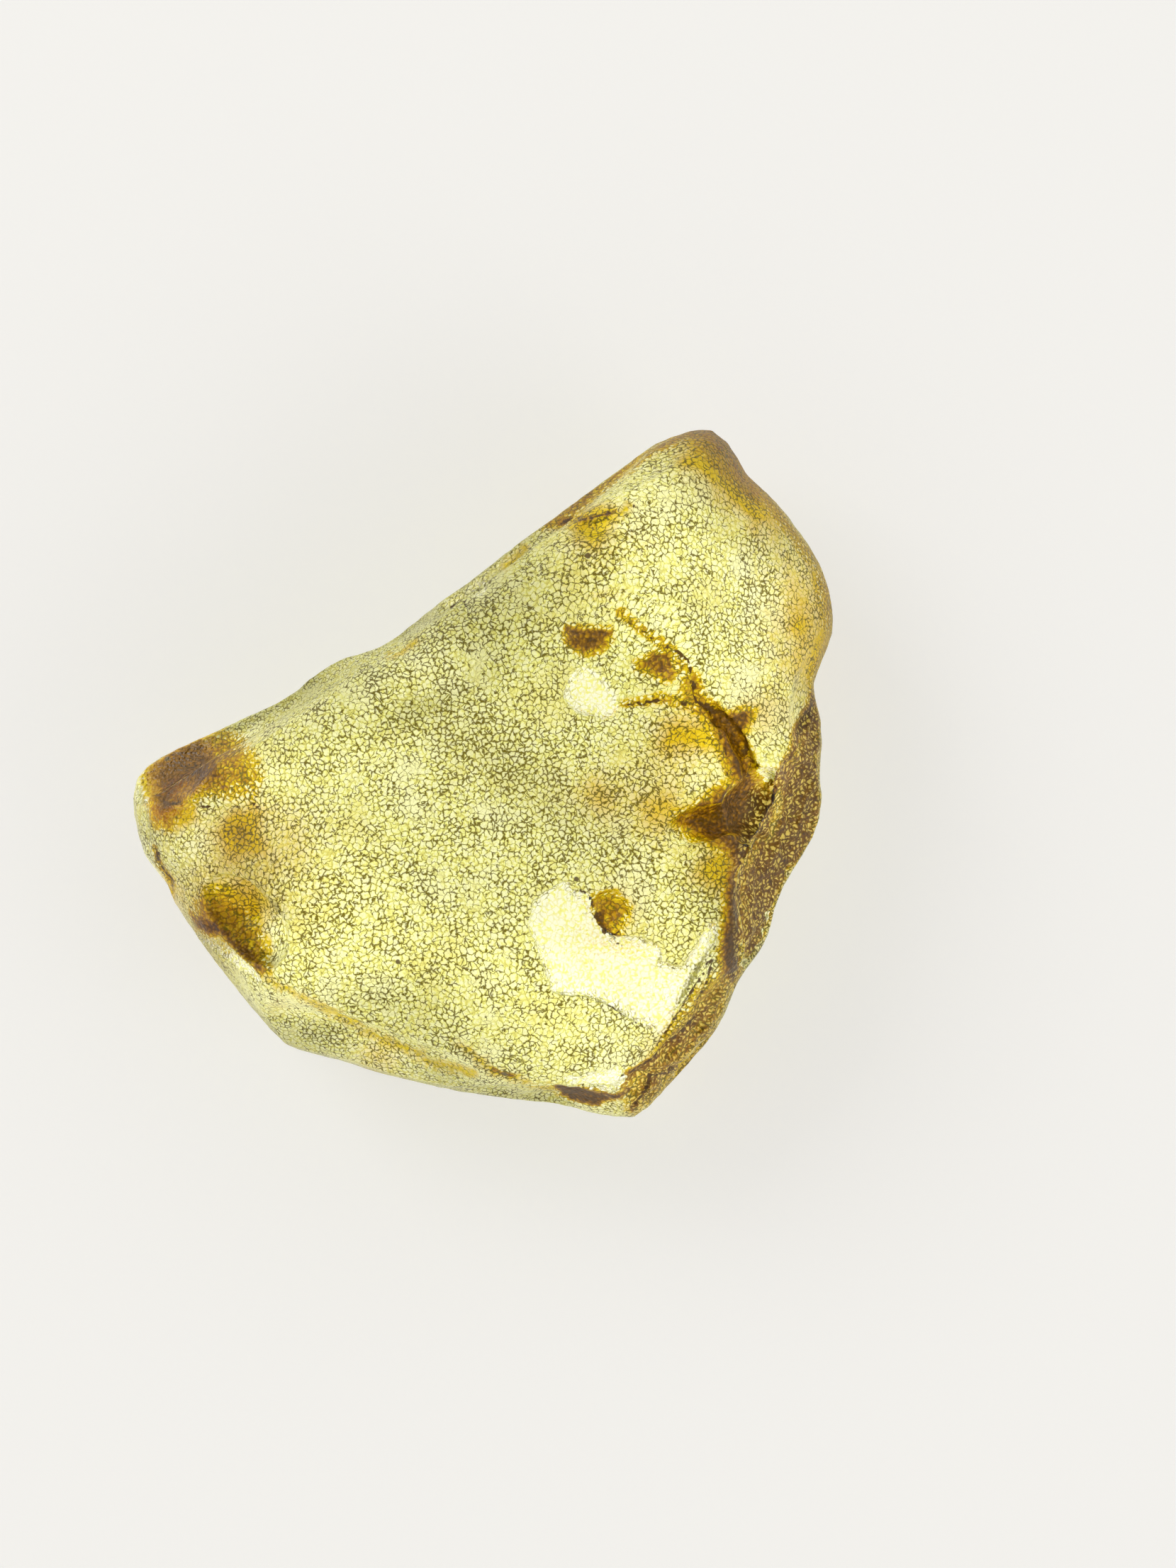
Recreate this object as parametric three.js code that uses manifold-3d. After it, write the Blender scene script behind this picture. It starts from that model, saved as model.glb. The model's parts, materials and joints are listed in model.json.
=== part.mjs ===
// Raw copal: one lump of tree resin as it came out of the ground, about as big as a plum.
// It is a thick slab with a broad, gently rolling top, a flat broken underside to rest on and
// hollows left by lost flakes. Millimetres, +Z up, origin under the middle of the lump on the
// surface it rests on; +X runs along its longest side.
import * as THREE from 'three';
import { mergeVertices } from 'three/addons/utils/BufferGeometryUtils.js';
import Module from 'manifold-3d';

const wasm = await Module();
wasm.setup();

// ---- driving dimensions ----------------------------------------------------------------
const FACE_HEIGHT = 19.2;      // the middle of the broad top face above the resting surface
const BELLY_DEPTH = 1.3;       // how much of the rounded belly the flat underside cuts away
const RINGS = 19;              // rings of triangles from the middle of a face to the rim
const RIM_CROWDING = 1.75;     // how much closer the rings lie near the rim than in the middle
const TOP_BLUNTNESS = 12;      // a high power keeps the top broad and the edge blunt
const BELLY_BLUNTNESS = 3.4;   // the belly curves in sooner than the top
const SURFACE_ROLL = 0.28;     // slow unevenness of the whole surface
const SCAR_EDGE = 2.6;         // length of a triangle's edge in a large scar
const SCAR_STEPS = [3, 15];    // fewest and most subdivisions of the ball that cuts a scar
const SCAR_RAGGEDNESS = 0.05;  // unevenness of a large scar, as a share of its ball
const PIT_RAGGEDNESS = 0.08;   // the same for a small pit, which is more ragged
const PIT_SIZE = 5;            // a ball with a shorter half-axis than this cuts a pit
const SCAR_LUMPS = 25;         // how closely a scar's unevenness is spaced on its ball
const STRETCH_OVERLAP = 0.8;   // a fissure's hollows reach past half of their stretch by this share
const HOLLOW_ROOM = 1.2;       // a fissure's hollow is this much taller than it is deep
const UPRIGHT = 0.5;           // a scar that faces closer to straight up or down has no level axis
const GROUND = [90, 90, 20];   // the block that cuts the underside flat

// The surface's slow unevenness is a product of two waves and a third, finer one, each given as
// radians per millimetre along x, y and z and the phase at the origin.
const LONG_WAVE = { steps: [0.31, 0.17, 0], start: 0.9 };
const CROSS_WAVE = { steps: [0, 0.27, -0.21], start: 0.4 };
const FINE_WAVE = { steps: [-0.44, 0.63, 0.33], start: 0 };
const FINE_SHARE = 0.5;

// The rim seen from above, with the height at which the lump is widest: [x, y, z].
const RIM = [
  [18.1, 27.2, 9.5], [19.9, 25.5, 9.5], [20.8, 23.8, 9.0], [23.4, 21.4, 8.5], [26.6, 17.0, 8.0],
  [27.6, 14.2, 8.0], [27.8, 11.6, 8.0], [26.9, 8.8, 8.0], [26.3, 7.1, 8.0], [26.8, 4.8, 7.5],
  [27.0, 2.6, 7.0], [26.8, 0.2, 6.5], [27.0, -2.0, 6.5], [26.5, -4.6, 6.5], [24.4, -8.0, 7.0],
  [23.4, -10.0, 7.5], [22.5, -13.2, 8.0], [20.3, -16.4, 8.0], [18.7, -20.1, 7.5],
  [15.7, -23.7, 7.0], [14.1, -25.5, 7.0], [12.2, -27.2, 7.0], [9.6, -27.1, 7.0],
  [6.4, -26.3, 7.5], [1.5, -25.7, 8.0], [-4.6, -24.6, 8.0], [-10.9, -22.9, 7.5],
  [-15.5, -21.5, 7.0], [-17.6, -19.5, 6.5], [-21.9, -14.2, 6.0], [-24.5, -10.3, 6.0],
  [-25.3, -8.4, 6.5], [-26.7, -6.9, 7.0], [-27.8, -2.8, 7.5], [-27.4, -0.1, 8.0],
  [-25.9, 1.2, 8.5], [-20.0, 4.0, 9.5], [-15.2, 6.3, 10.0], [-13.1, 8.0, 10.0],
  [-11.2, 9.1, 10.0], [-8.3, 10.0, 10.0], [-3.0, 13.9, 9.5], [5.2, 20.0, 9.5],
  [10.6, 24.0, 9.5], [14.3, 26.4, 9.5],
];
const MIDDLE = [3.0, -2.2];    // every part of the rim can be seen from here

// Swells and dips of a face: where, how far they reach and how high they stand.
const TOP_SWELLS = [
  { at: [12, 15], reach: 10, rise: 1.5 },
  { at: [-13, -6], reach: 9, rise: 0.9 },
  { at: [-4, 5.5], reach: 5, rise: -0.7 },
  { at: [3, -1], reach: 5, rise: -0.9 },
  { at: [9, -5], reach: 5, rise: -0.6 },
  { at: [6, -15], reach: 7, rise: 0.7 },
  { at: [-23, -2], reach: 8, rise: -2.6 },
  { at: [25, 13], reach: 9, rise: -3.4 },
  { at: [14, -22], reach: 8, rise: -1.6 },
];
const BELLY_SWELLS = [
  { at: [-16, -3], reach: 8, rise: 2.6 },
  { at: [17, 16], reach: 8, rise: 2.2 },
  { at: [12, -19], reach: 7, rise: 2.0 },
];

// Scars of broken-off pieces. Each is the hollow left by a stretched ball that faces outward:
// its deepest point, its facing and its half-axes (along, across, outward). Turn, in degrees,
// spins it about its facing.
const SCARS = {
  lowerBevel: { floor: [-6.6, -21.9, 15.2], out: [-0.31, -0.78, 0.55], ball: [46, 16, 12] },
  lowerLeftBevel: { floor: [-20.4, -14.3, 14.6], out: [-0.66, -0.50, 0.56], ball: [20, 12, 10] },
  leftBevel: { floor: [-26.2, -5.6, 12.6], out: [-0.86, -0.10, 0.48], ball: [12, 10, 8] },
  leftTip: { floor: [-23.4, 0.3, 14.0], out: [-0.42, 0.50, 0.76], ball: [9, 6.5, 5], turn: 12 },
  upperLeftBevel: { floor: [0.8, 15.5, 14.6], out: [-0.56, 0.79, 0.26], ball: [80, 14, 12] },
  upperLeftSide: { floor: [-4.4, 11.6, 12.6], out: [-0.54, 0.78, 0.32], ball: [10, 7, 5] },
  lowerSide: { floor: [2.6, -24.5, 12.4], out: [0.05, -0.92, 0.38], ball: [11, 7, 6] },
  tipFacet: { floor: [14.6, 25.2, 16.2], out: [-0.42, 0.62, 0.66], ball: [9, 7, 5] },
  tipNotch: { floor: [20.2, 24.2, 14.8], out: [0.74, 0.42, 0.52], ball: [10, 8, 6] },
  rightShoulder: { floor: [25.6, 13.8, 15.0], out: [0.70, 0.16, 0.70], ball: [20, 15, 12] },
  rightNotch: { floor: [25.0, 4.2, 13.0], out: [0.86, 0.10, 0.50], ball: [7, 6, 5] },
  rightStep: { floor: [23.0, -6.5, 12.0], out: [0.72, -0.20, 0.66], ball: [14, 9, 8] },
  rightUnderstep: { floor: [22.2, -11.6, 11.5], out: [0.80, -0.45, 0.40], ball: [9, 8, 6] },
  cornerBevel: { floor: [16.4, -19.4, 15.2], out: [0.62, -0.46, 0.63], ball: [16, 11, 9] },
  cornerTip: { floor: [12.2, -25.0, 14.2], out: [0.26, -0.70, 0.66], ball: [8, 7, 6] },
  crescent: { floor: [8.3, -24.5, 15.4], out: [-0.05, -0.86, 0.50], ball: [3.4, 2.0, 1.6] },
  plateStep: { floor: [12.2, 4.6, 18.2], out: [0.07, 0.05, 1.0], ball: [10, 7.6, 2.6], turn: -52 },
  butterflyPit: { floor: [20.4, -2.9, 15.4], out: [0.30, 0.15, 0.94], ball: [3.2, 2.4, 3.4], turn: 40 },
  butterflyWing: { floor: [16.8, -4.0, 17.2], out: [0.2, 0.1, 0.97], ball: [3.4, 1.3, 1.8], turn: 14 },
  leftPit: { floor: [-19.5, -12.8, 16.2], out: [0.36, 0.50, 0.79], ball: [4.4, 3.4, 2.8], turn: -14 },
  upperSpot: { floor: [8.3, 10.7, 18.9], out: [-0.1, -0.35, 0.93], ball: [2.0, 1.4, 1.4], turn: -10 },
  middleSpot: { floor: [13.5, 8.7, 18.0], out: [0.0, -0.35, 0.94], ball: [1.9, 1.1, 1.3], turn: -16 },
  edgeLip: { floor: [8.3, 19.2, 18.9], out: [-0.20, -0.20, 0.96], ball: [2.8, 0.9, 1.2], turn: 4 },
  amberPit: { floor: [10.3, -10.6, 18.1], out: [-0.2, 0.1, 0.97], ball: [1.4, 1.7, 1.5], turn: 20 },
  undersideLeft: { floor: [-19.6, -5.2, 4.2], out: [-0.42, -0.20, -0.88], ball: [14, 12, 9] },
  undersideRight: { floor: [21.0, -5.6, 3.6], out: [0.52, -0.28, -0.80], ball: [15, 12, 9] },
  undersideBack: { floor: [2.0, 11.6, 3.4], out: [-0.42, 0.52, -0.74], ball: [26, 16, 12] },
  undersideFront: { floor: [-4.0, -19.6, 3.2], out: [-0.15, -0.60, -0.79], ball: [24, 14, 11] },
  undersideTip: { floor: [18.4, 19.4, 4.4], out: [0.36, 0.42, -0.83], ball: [13, 11, 9] },
};

// Flakes of skin that have popped off the top face, by outline, with the depth of their bed.
const FLAKES = [
  {
    depth: 1.5,
    outline: [
      [7.0, 7.3], [7.6, 8.1], [8.8, 7.9], [9.6, 7.2], [10.3, 6.0], [10.4, 4.9], [9.5, 4.2],
      [8.8, 4.8], [7.5, 4.9], [6.6, 6.0],
    ],
  },
  {
    depth: 0.8,
    outline: [
      [6.6, -8.2], [8.2, -9.5], [8.9, -10.6], [9.3, -11.6], [9.9, -12.6], [12.1, -12.6],
      [13.6, -13.3], [13.7, -14.5], [15.6, -15.0], [16.7, -13.6], [17.6, -11.6], [18.2, -11.5],
      [18.1, -12.8], [17.0, -14.5], [15.7, -16.7], [14.6, -19.4], [14.1, -20.7], [12.1, -18.9],
      [10.8, -18.0], [9.0, -17.0], [7.5, -16.7], [5.7, -16.5], [4.6, -13.5], [3.9, -11.6],
      [4.2, -9.8], [5.5, -8.8],
    ],
  },
];

// The open fissure that runs down to the butterfly pit, and its short side branch.
const FISSURE = {
  path: [
    [10.8, 12.3], [12.5, 11.0], [14.5, 9.7], [16.4, 7.2], [17.7, 5.1], [19.3, 3.4], [20.5, 1.1],
    [20.9, -0.4],
  ],
  width: [0.45, 1.4],
  depth: [0.6, 1.9],
};
const BRANCH = {
  path: [[11.1, 5.4], [12.5, 5.5], [14.6, 6.0], [16.6, 5.2]],
  width: [0.6, 0.5],
  depth: [1.2, 1.2],
};

// ---- helpers ---------------------------------------------------------------------------
const lerp = THREE.MathUtils.lerp;

// The sum of a face's swells at a point.
function swelling(swells, x, y) {
  let sum = 0;
  for (const { at, reach, rise } of swells) {
    const away = Math.hypot(x - at[0], y - at[1]) / reach;
    sum += rise * Math.exp(-away * away);
  }
  return sum;
}

// A slow, uneven roll that keeps large surfaces from being perfectly smooth.
function roll(...place) {
  const phase = ({ steps, start }) => steps.reduce((sum, step, i) => sum + step * place[i], start);
  return Math.sin(phase(LONG_WAVE)) * Math.cos(phase(CROSS_WAVE))
    + FINE_SHARE * Math.sin(phase(FINE_WAVE));
}

// The height of the broad top face before anything has broken off it.
function faceHeight(x, y) {
  const z = FACE_HEIGHT + swelling(TOP_SWELLS, x, y);
  return z + SURFACE_ROLL * roll(x, y, z);
}

// The height of the belly before the underside is broken flat.
function bellyHeight(x, y) {
  const z = swelling(BELLY_SWELLS, x, y) - BELLY_DEPTH;
  return z + SURFACE_ROLL * roll(x, y, z);
}

// How high a face stands at a share of the way from its middle (0) to the rim (1).
const crown = (share, bluntness) => Math.sqrt(Math.max(0, 1 - share ** bluntness));

// A closed geometry as a solid for booleans.
function toSolid(geometry) {
  const bare = new THREE.BufferGeometry();
  bare.setAttribute('position', geometry.getAttribute('position'));
  bare.setIndex(geometry.index);
  const merged = mergeVertices(bare, 1e-4);
  return new wasm.Manifold(new wasm.Mesh({
    numProp: 3,
    vertProperties: new Float32Array(merged.getAttribute('position').array),
    triVerts: new Uint32Array(merged.index.array),
  }));
}

// A solid as a geometry for a mesh.
function toGeometry(solid) {
  const made = solid.getMesh();
  const geometry = new THREE.BufferGeometry();
  geometry.setAttribute('position', new THREE.BufferAttribute(made.vertProperties, 3));
  geometry.setIndex(new THREE.BufferAttribute(made.triVerts, 1));
  geometry.computeVertexNormals();
  return geometry;
}

// ---- the lump --------------------------------------------------------------------------
// Two discs of rings, the top and the belly, that share the rim. Ring k has 6k points, so
// that the triangles stay about as large in the middle as at the edge.
function lumpGeometry() {
  const rim = new THREE.CatmullRomCurve3(
    RIM.map(([x, y, z]) => new THREE.Vector3(x, y, z)), true, 'centripetal');
  const positions = [];
  const indices = [];

  function addPoint(ring, step, top) {
    const share = 1 - (1 - ring / RINGS) ** RIM_CROWDING;
    const edge = rim.getPointAt(ring ? step / (6 * ring) : 0);
    const x = lerp(MIDDLE[0], edge.x, share);
    const y = lerp(MIDDLE[1], edge.y, share);
    const face = top ? faceHeight(x, y) : bellyHeight(x, y);
    const height = crown(share, top ? TOP_BLUNTNESS : BELLY_BLUNTNESS);
    positions.push(x, y, lerp(edge.z, face, height));
    return positions.length / 3 - 1;
  }

  function addDisc(top, rimRow) {
    let inner = [addPoint(0, 0, top)];
    for (let ring = 1; ring <= RINGS; ring++) {
      const last = ring === RINGS && rimRow;
      const outer = last ? rimRow
        : Array.from({ length: 6 * ring }, (_, step) => addPoint(ring, step, top));
      for (let side = 0; side < 6; side++) {
        for (let i = 0; i < ring; i++) {
          const a = outer[side * ring + i];
          const b = outer[(side * ring + i + 1) % outer.length];
          const c = inner[(side * (ring - 1) + i) % inner.length];
          indices.push(...(top ? [a, c, b] : [a, b, c]));
          if (i < ring - 1) {
            const d = inner[(side * (ring - 1) + i + 1) % inner.length];
            indices.push(...(top ? [b, c, d] : [b, d, c]));
          }
        }
      }
      inner = outer;
    }
    return inner;
  }

  const rimRow = addDisc(true, null);
  addDisc(false, rimRow);
  const geometry = new THREE.BufferGeometry();
  geometry.setAttribute('position', new THREE.Float32BufferAttribute(positions, 3));
  geometry.setIndex(indices);
  return geometry;
}

// The stretched, slightly uneven ball that leaves a scar.
function scarCutter({ floor, out, ball: [along, across, outward], turn = 0 }) {
  const steps = THREE.MathUtils.clamp(Math.round(along / SCAR_EDGE), ...SCAR_STEPS);
  const ball = new THREE.IcosahedronGeometry(1, steps);
  ball.deleteAttribute('normal');
  ball.deleteAttribute('uv');
  const raggedness = along < PIT_SIZE ? PIT_RAGGEDNESS : SCAR_RAGGEDNESS;
  const spots = ball.getAttribute('position');
  const spot = new THREE.Vector3();
  for (let i = 0; i < spots.count; i++) {
    spot.fromBufferAttribute(spots, i);
    const wave = roll(
      SCAR_LUMPS * spot.x + floor[0], SCAR_LUMPS * spot.y + floor[1], SCAR_LUMPS * spot.z);
    spot.multiplyScalar(1 + raggedness * wave);
    spots.setXYZ(i, spot.x, spot.y, spot.z);
  }
  ball.scale(along, across, outward);
  ball.translate(0, 0, outward);
  ball.rotateZ(THREE.MathUtils.degToRad(turn));
  const facing = new THREE.Vector3(...out).normalize();
  const level = new THREE.Vector3(0, 0, 1).cross(facing);
  if (level.length() < UPRIGHT) level.set(1, 0, 0);
  const slope = facing.clone().cross(level).normalize();
  level.crossVectors(slope, facing);
  const placed = new THREE.Matrix4().makeBasis(level, slope, facing).setPosition(...floor);
  return toSolid(ball.applyMatrix4(placed));
}

// The prism that lifts a flake of skin off the face. Its bed follows the rolling face.
function flakeCutter({ depth, outline }) {
  const shape = new THREE.Shape(outline.map(([x, y]) => new THREE.Vector2(x, y)));
  const prism = new THREE.ExtrudeGeometry(shape, { depth: 1, bevelEnabled: false });
  const spots = prism.getAttribute('position');
  for (let i = 0; i < spots.count; i++) {
    const clear = spots.getZ(i) * FACE_HEIGHT;
    spots.setZ(i, faceHeight(spots.getX(i), spots.getY(i)) - depth + clear);
  }
  return toSolid(prism);
}

// Slim hollows along a path, one for each stretch, that together open a fissure.
function fissureCutters({ path, width, depth }) {
  return path.slice(1).map(([x1, y1], i) => {
    const [x0, y0] = path[i];
    const share = (i + 0.5) / (path.length - 1);
    const x = (x0 + x1) / 2;
    const y = (y0 + y1) / 2;
    const deep = lerp(...depth, share);
    return scarCutter({
      floor: [x, y, faceHeight(x, y) - deep],
      out: [0, 0, 1],
      ball: [
        Math.hypot(x1 - x0, y1 - y0) * STRETCH_OVERLAP,
        lerp(...width, share) / 2,
        deep * HOLLOW_ROOM,
      ],
      turn: THREE.MathUtils.radToDeg(Math.atan2(y1 - y0, x1 - x0)),
    });
  });
}

// Everything below the resting surface.
function groundSolid() {
  const block = new THREE.BoxGeometry(...GROUND);
  block.deleteAttribute('normal');
  block.deleteAttribute('uv');
  return toSolid(block.translate(0, 0, -GROUND[2] / 2));
}

function copalLump() {
  let solid = toSolid(lumpGeometry());
  const cutters = [
    ...Object.values(SCARS).map(scarCutter),
    ...FLAKES.map(flakeCutter),
    ...fissureCutters(FISSURE),
    ...fissureCutters(BRANCH),
    groundSolid(),
  ];
  for (const cutter of cutters) solid = solid.subtract(cutter);
  // Crumbs that the scars have cut loose are not part of the lump.
  [solid] = solid.decompose().sort((a, b) => b.volume() - a.volume());
  const resin = new THREE.MeshStandardMaterial({
    name: 'resin', color: 0xe6de8c, roughness: 0.32, metalness: 0,
  });
  const geometry = toGeometry(solid);
  geometry.computeBoundingBox();
  const centre = geometry.boundingBox.getCenter(new THREE.Vector3());
  geometry.translate(-centre.x, -centre.y, 0);
  const lump = new THREE.Mesh(geometry, resin);
  lump.name = 'copal_lump';
  return lump;
}

const copal = new THREE.Group();
copal.add(copalLump());
export default copal;
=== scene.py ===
# %% [markdown]
# # Raw copal
#
# Copal is tree resin that has hardened in the ground but has not yet turned to amber. This lump is
# as large as a plum and clear yellow right through. Its skin has dried out and crazed into a fine
# net of cracks, and where flakes and corners have broken off the resin below is bright and glossy.
#
# The lesson has four parts: the bench that the lump lies on, the body cut from the solid, the
# skin's relief, marks and painted shade measured on that body, and one clear material that reads them.

# %% [markdown]
# ## Tools and the solid
# All lengths below are in millimetres, because that is how one measures a specimen; they
# become metres only where Blender needs them.

import json

import bmesh
import bpy
import numpy as np
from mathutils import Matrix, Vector, noise

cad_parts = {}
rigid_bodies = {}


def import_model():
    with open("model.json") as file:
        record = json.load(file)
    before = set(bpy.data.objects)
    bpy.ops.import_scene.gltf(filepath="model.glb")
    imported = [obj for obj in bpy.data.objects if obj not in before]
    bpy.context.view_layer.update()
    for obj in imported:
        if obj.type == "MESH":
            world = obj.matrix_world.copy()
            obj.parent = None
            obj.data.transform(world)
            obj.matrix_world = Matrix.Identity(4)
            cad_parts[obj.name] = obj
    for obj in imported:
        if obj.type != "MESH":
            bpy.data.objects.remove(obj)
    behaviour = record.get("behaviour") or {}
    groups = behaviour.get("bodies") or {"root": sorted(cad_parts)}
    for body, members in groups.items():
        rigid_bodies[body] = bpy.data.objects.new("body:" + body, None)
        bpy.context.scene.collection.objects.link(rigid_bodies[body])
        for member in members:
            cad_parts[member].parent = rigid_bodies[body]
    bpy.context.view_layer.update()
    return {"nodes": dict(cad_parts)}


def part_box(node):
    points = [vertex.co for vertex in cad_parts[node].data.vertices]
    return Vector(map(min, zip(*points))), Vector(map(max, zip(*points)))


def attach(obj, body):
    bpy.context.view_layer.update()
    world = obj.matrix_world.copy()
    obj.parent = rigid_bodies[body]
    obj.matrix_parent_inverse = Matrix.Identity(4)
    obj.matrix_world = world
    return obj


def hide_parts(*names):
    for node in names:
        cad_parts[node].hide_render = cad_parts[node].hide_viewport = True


MM = 0.001  # metres

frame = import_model()
solid = frame["nodes"]["copal_lump"]
low, high = (np.array(corner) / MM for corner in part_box("copal_lump"))
print("the solid lump spans", np.round(high - low, 1), "mm")

# %% [markdown]
# ## The bench
# A lump of clear resin shows its colour only when light comes through it, and a floor that is only
# lit from above leaves it dull. So the lump lies on a plain pale light table, which one could make
# from a lamp under glass. Here it is a disc with a matt paint that gives off light of its own.

# %% The bench
BENCH_SIZE = 8.0  # metres
BENCH_SIDES = 64
BENCH_DROP = 0.05  # mm below the resting face, so that the two never share a plane
BENCH_TINT = (0.60, 0.595, 0.58)
BENCH_GLOSS = 0.5
BENCH_GLOW = 0.52
LAMP_TINT = (1.0, 0.99, 0.96, 1)  # a warm white
PAINT_ROUGHNESS = 0.75


def round_shape(turns):
    """Points on a circle of radius 1, at angles in radians."""
    return np.array([np.cos(turns), np.sin(turns)]).T


def flat_disc(name, centre, edge, height, rings=1):
    """A flat disc as a mesh object, from its edge points round a centre, in metres."""
    points = [(*centre, height)]
    faces = []
    sides = len(edge)
    for ring in range(1, rings + 1):
        share = ring / rings
        points += [(*(np.array(centre) + share * (np.array(spot) - centre)), height) for spot in edge]
        for i in range(sides):
            j = (i + 1) % sides
            outer, inner = 1 + (ring - 1) * sides, 1 + (ring - 2) * sides
            if ring == 1:
                faces.append((0, outer + i, outer + j))
            else:
                faces.append((inner + i, outer + i, outer + j, inner + j))
    mesh = bpy.data.meshes.new(name)
    mesh.from_pydata(points, [], faces)
    disc = bpy.data.objects.new(name, mesh)
    bpy.context.scene.collection.objects.link(disc)
    return disc


def new_material(name):
    """A material with its Principled shader and output, and those three things in return."""
    material = bpy.data.materials.new(name)
    material.use_nodes = True
    nodes = material.node_tree.nodes
    return material, nodes["Principled BSDF"], nodes["Material Output"]


def glowing_paint(name, tint, gloss, glow):
    """A matt paint that also gives off a warm white light, and its shader."""
    paint, shader, _ = new_material(name)
    shader.inputs["Base Color"].default_value = (*tint, 1)
    shader.inputs["Specular IOR Level"].default_value = gloss
    shader.inputs["Roughness"].default_value = PAINT_ROUGHNESS
    shader.inputs["Emission Color"].default_value = LAMP_TINT
    shader.inputs["Emission Strength"].default_value = glow
    paint.cycles.emission_sampling = "NONE"  # rays find so large a light without being sent to it
    return paint, shader


turns = np.linspace(0, 2 * np.pi, BENCH_SIDES, endpoint=False)
bench = flat_disc("bench", (0, 0), BENCH_SIZE / 2 * round_shape(turns), -BENCH_DROP * MM)
bench_paint, _ = glowing_paint("bench_paint", BENCH_TINT, BENCH_GLOSS, BENCH_GLOW)
bench.data.materials.append(bench_paint)
print("bench", BENCH_SIZE, "m across")

# %% [markdown]
# ## Light
# Two large soft boxes light the lump in a pale room. The room's walls are bright, because they are
# what the lump's steep sides mirror and let through. Its ceiling is dim, because it would veil the
# broad face with a grey shine.

# %% Light
SOFT_BOXES = {
    # name: (place, size, power), in metres and watts
    "key_soft_box": ((-0.55, 0.45, 0.55), 0.45, 1.5),
    "fill_soft_box": ((0.65, -0.35, 0.40), 0.50, 0.8),
}
ROOM_TINT = (1.0, 0.98, 0.94, 1)
WALL_GLOW = 0.85
CEILING_GLOW = 0.14
WALL_TO_CEILING = (0.45, 0.9)  # how far up a direction points, from the walls' end to the ceiling


def soft_box(name, place, size, power):
    """A square area lamp that faces the lump, in metres and watts."""
    data = bpy.data.lights.new(name, "AREA")
    data.size = size
    data.energy = power
    lamp = bpy.data.objects.new(name, data)
    lamp.location = place
    lamp.rotation_euler = (-Vector(place)).to_track_quat("-Z", "Y").to_euler()
    bpy.context.scene.collection.objects.link(lamp)
    return lamp


for name, (place, size, power) in SOFT_BOXES.items():
    soft_box(name, place, size, power)

room = bpy.data.worlds.new("pale_room")
room.use_nodes = True
backdrop = room.node_tree.nodes["Background"].inputs
backdrop["Color"].default_value = ROOM_TINT
direction = room.node_tree.nodes.new("ShaderNodeTexCoord").outputs["Generated"]
upward = room.node_tree.nodes.new("ShaderNodeSeparateXYZ")
room_glow = room.node_tree.nodes.new("ShaderNodeMapRange")
room_glow.interpolation_type = "SMOOTHSTEP"
room_glow.inputs["From Min"].default_value = WALL_TO_CEILING[0]
room_glow.inputs["From Max"].default_value = WALL_TO_CEILING[1]
room_glow.inputs["To Min"].default_value = WALL_GLOW
room_glow.inputs["To Max"].default_value = CEILING_GLOW
room.node_tree.links.new(direction, upward.inputs[0])
room.node_tree.links.new(upward.outputs["Z"], room_glow.inputs["Value"])
room.node_tree.links.new(room_glow.outputs["Result"], backdrop["Strength"])
room.cycles.sampling_method = "NONE"  # as for the bench: every ray that misses the rest finds it
bpy.context.scene.world = room
bpy.context.scene.view_settings.view_transform = "Standard"
print("soft boxes:", list(SOFT_BOXES))

# %% [markdown]
# ## Camera
# The camera looks straight down at the broad face, as one looks at a piece on a light table. It
# stands some way off with a long lens, so that the sides hardly show.

# %% Camera
RIM_HEIGHT = 9.0  # mm, the height at which the lump is widest
VIEW_CENTRE = (8.29, -0.73)  # mm, the middle of the view at that height
VIEW_HEIGHT = 123.9  # mm from the top of the view to its bottom at that height
CAMERA_AWAY = 320.0  # mm from the rim
SENSOR = 36.0  # mm
NEAREST = 0.01  # metres from the lens

camera_data = bpy.data.cameras.new("camera")
camera_data.sensor_width = SENSOR
camera_data.lens = SENSOR * CAMERA_AWAY / VIEW_HEIGHT
camera_data.clip_start = NEAREST
camera = bpy.data.objects.new("camera", camera_data)
camera.location = (VIEW_CENTRE[0] * MM, VIEW_CENTRE[1] * MM, (RIM_HEIGHT + CAMERA_AWAY) * MM)
bpy.context.scene.collection.objects.link(camera)
bpy.context.scene.camera = camera
print("lens", round(camera_data.lens, 1), "mm")

# %% [markdown]
# ## Reading and moving a mesh
# A mesh of nearly a hundred thousand points is too much for a loop over them. These helpers fetch
# all points, normals or edges at once as rows of numbers, and put the points back the same way.

# %% Reading and moving a mesh
def points_of(mesh):
    """A mesh's points as rows, in mm."""
    flat = np.empty(len(mesh.vertices) * 3)
    mesh.vertices.foreach_get("co", flat)
    return flat.reshape(-1, 3) / MM


def normals_of(mesh):
    """A mesh's normals at its points, as rows."""
    flat = np.empty(len(mesh.vertices) * 3)
    mesh.vertices.foreach_get("normal", flat)
    return flat.reshape(-1, 3)


def edges_of(mesh):
    """A mesh's edges as rows of two point numbers."""
    flat = np.empty(len(mesh.edges) * 2, dtype=np.int64)
    mesh.edges.foreach_get("vertices", flat)
    return flat.reshape(-1, 2)


def move_points(mesh, points):
    """Sets a mesh's points from rows in mm."""
    mesh.vertices.foreach_set("co", (points * MM).ravel())
    mesh.update()


print("the solid has", len(points_of(solid.data)), "points")

# %% [markdown]
# ## The body
# The solid has flat facets a millimetre or two across. Real resin breaks in smooth curved shells,
# so the solid is remeshed to an even net of small squares and relaxed: the facets melt together
# while the ledges between scars stay. Two steps that push in and then out by about as much keep
# the lump from shrinking.

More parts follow.
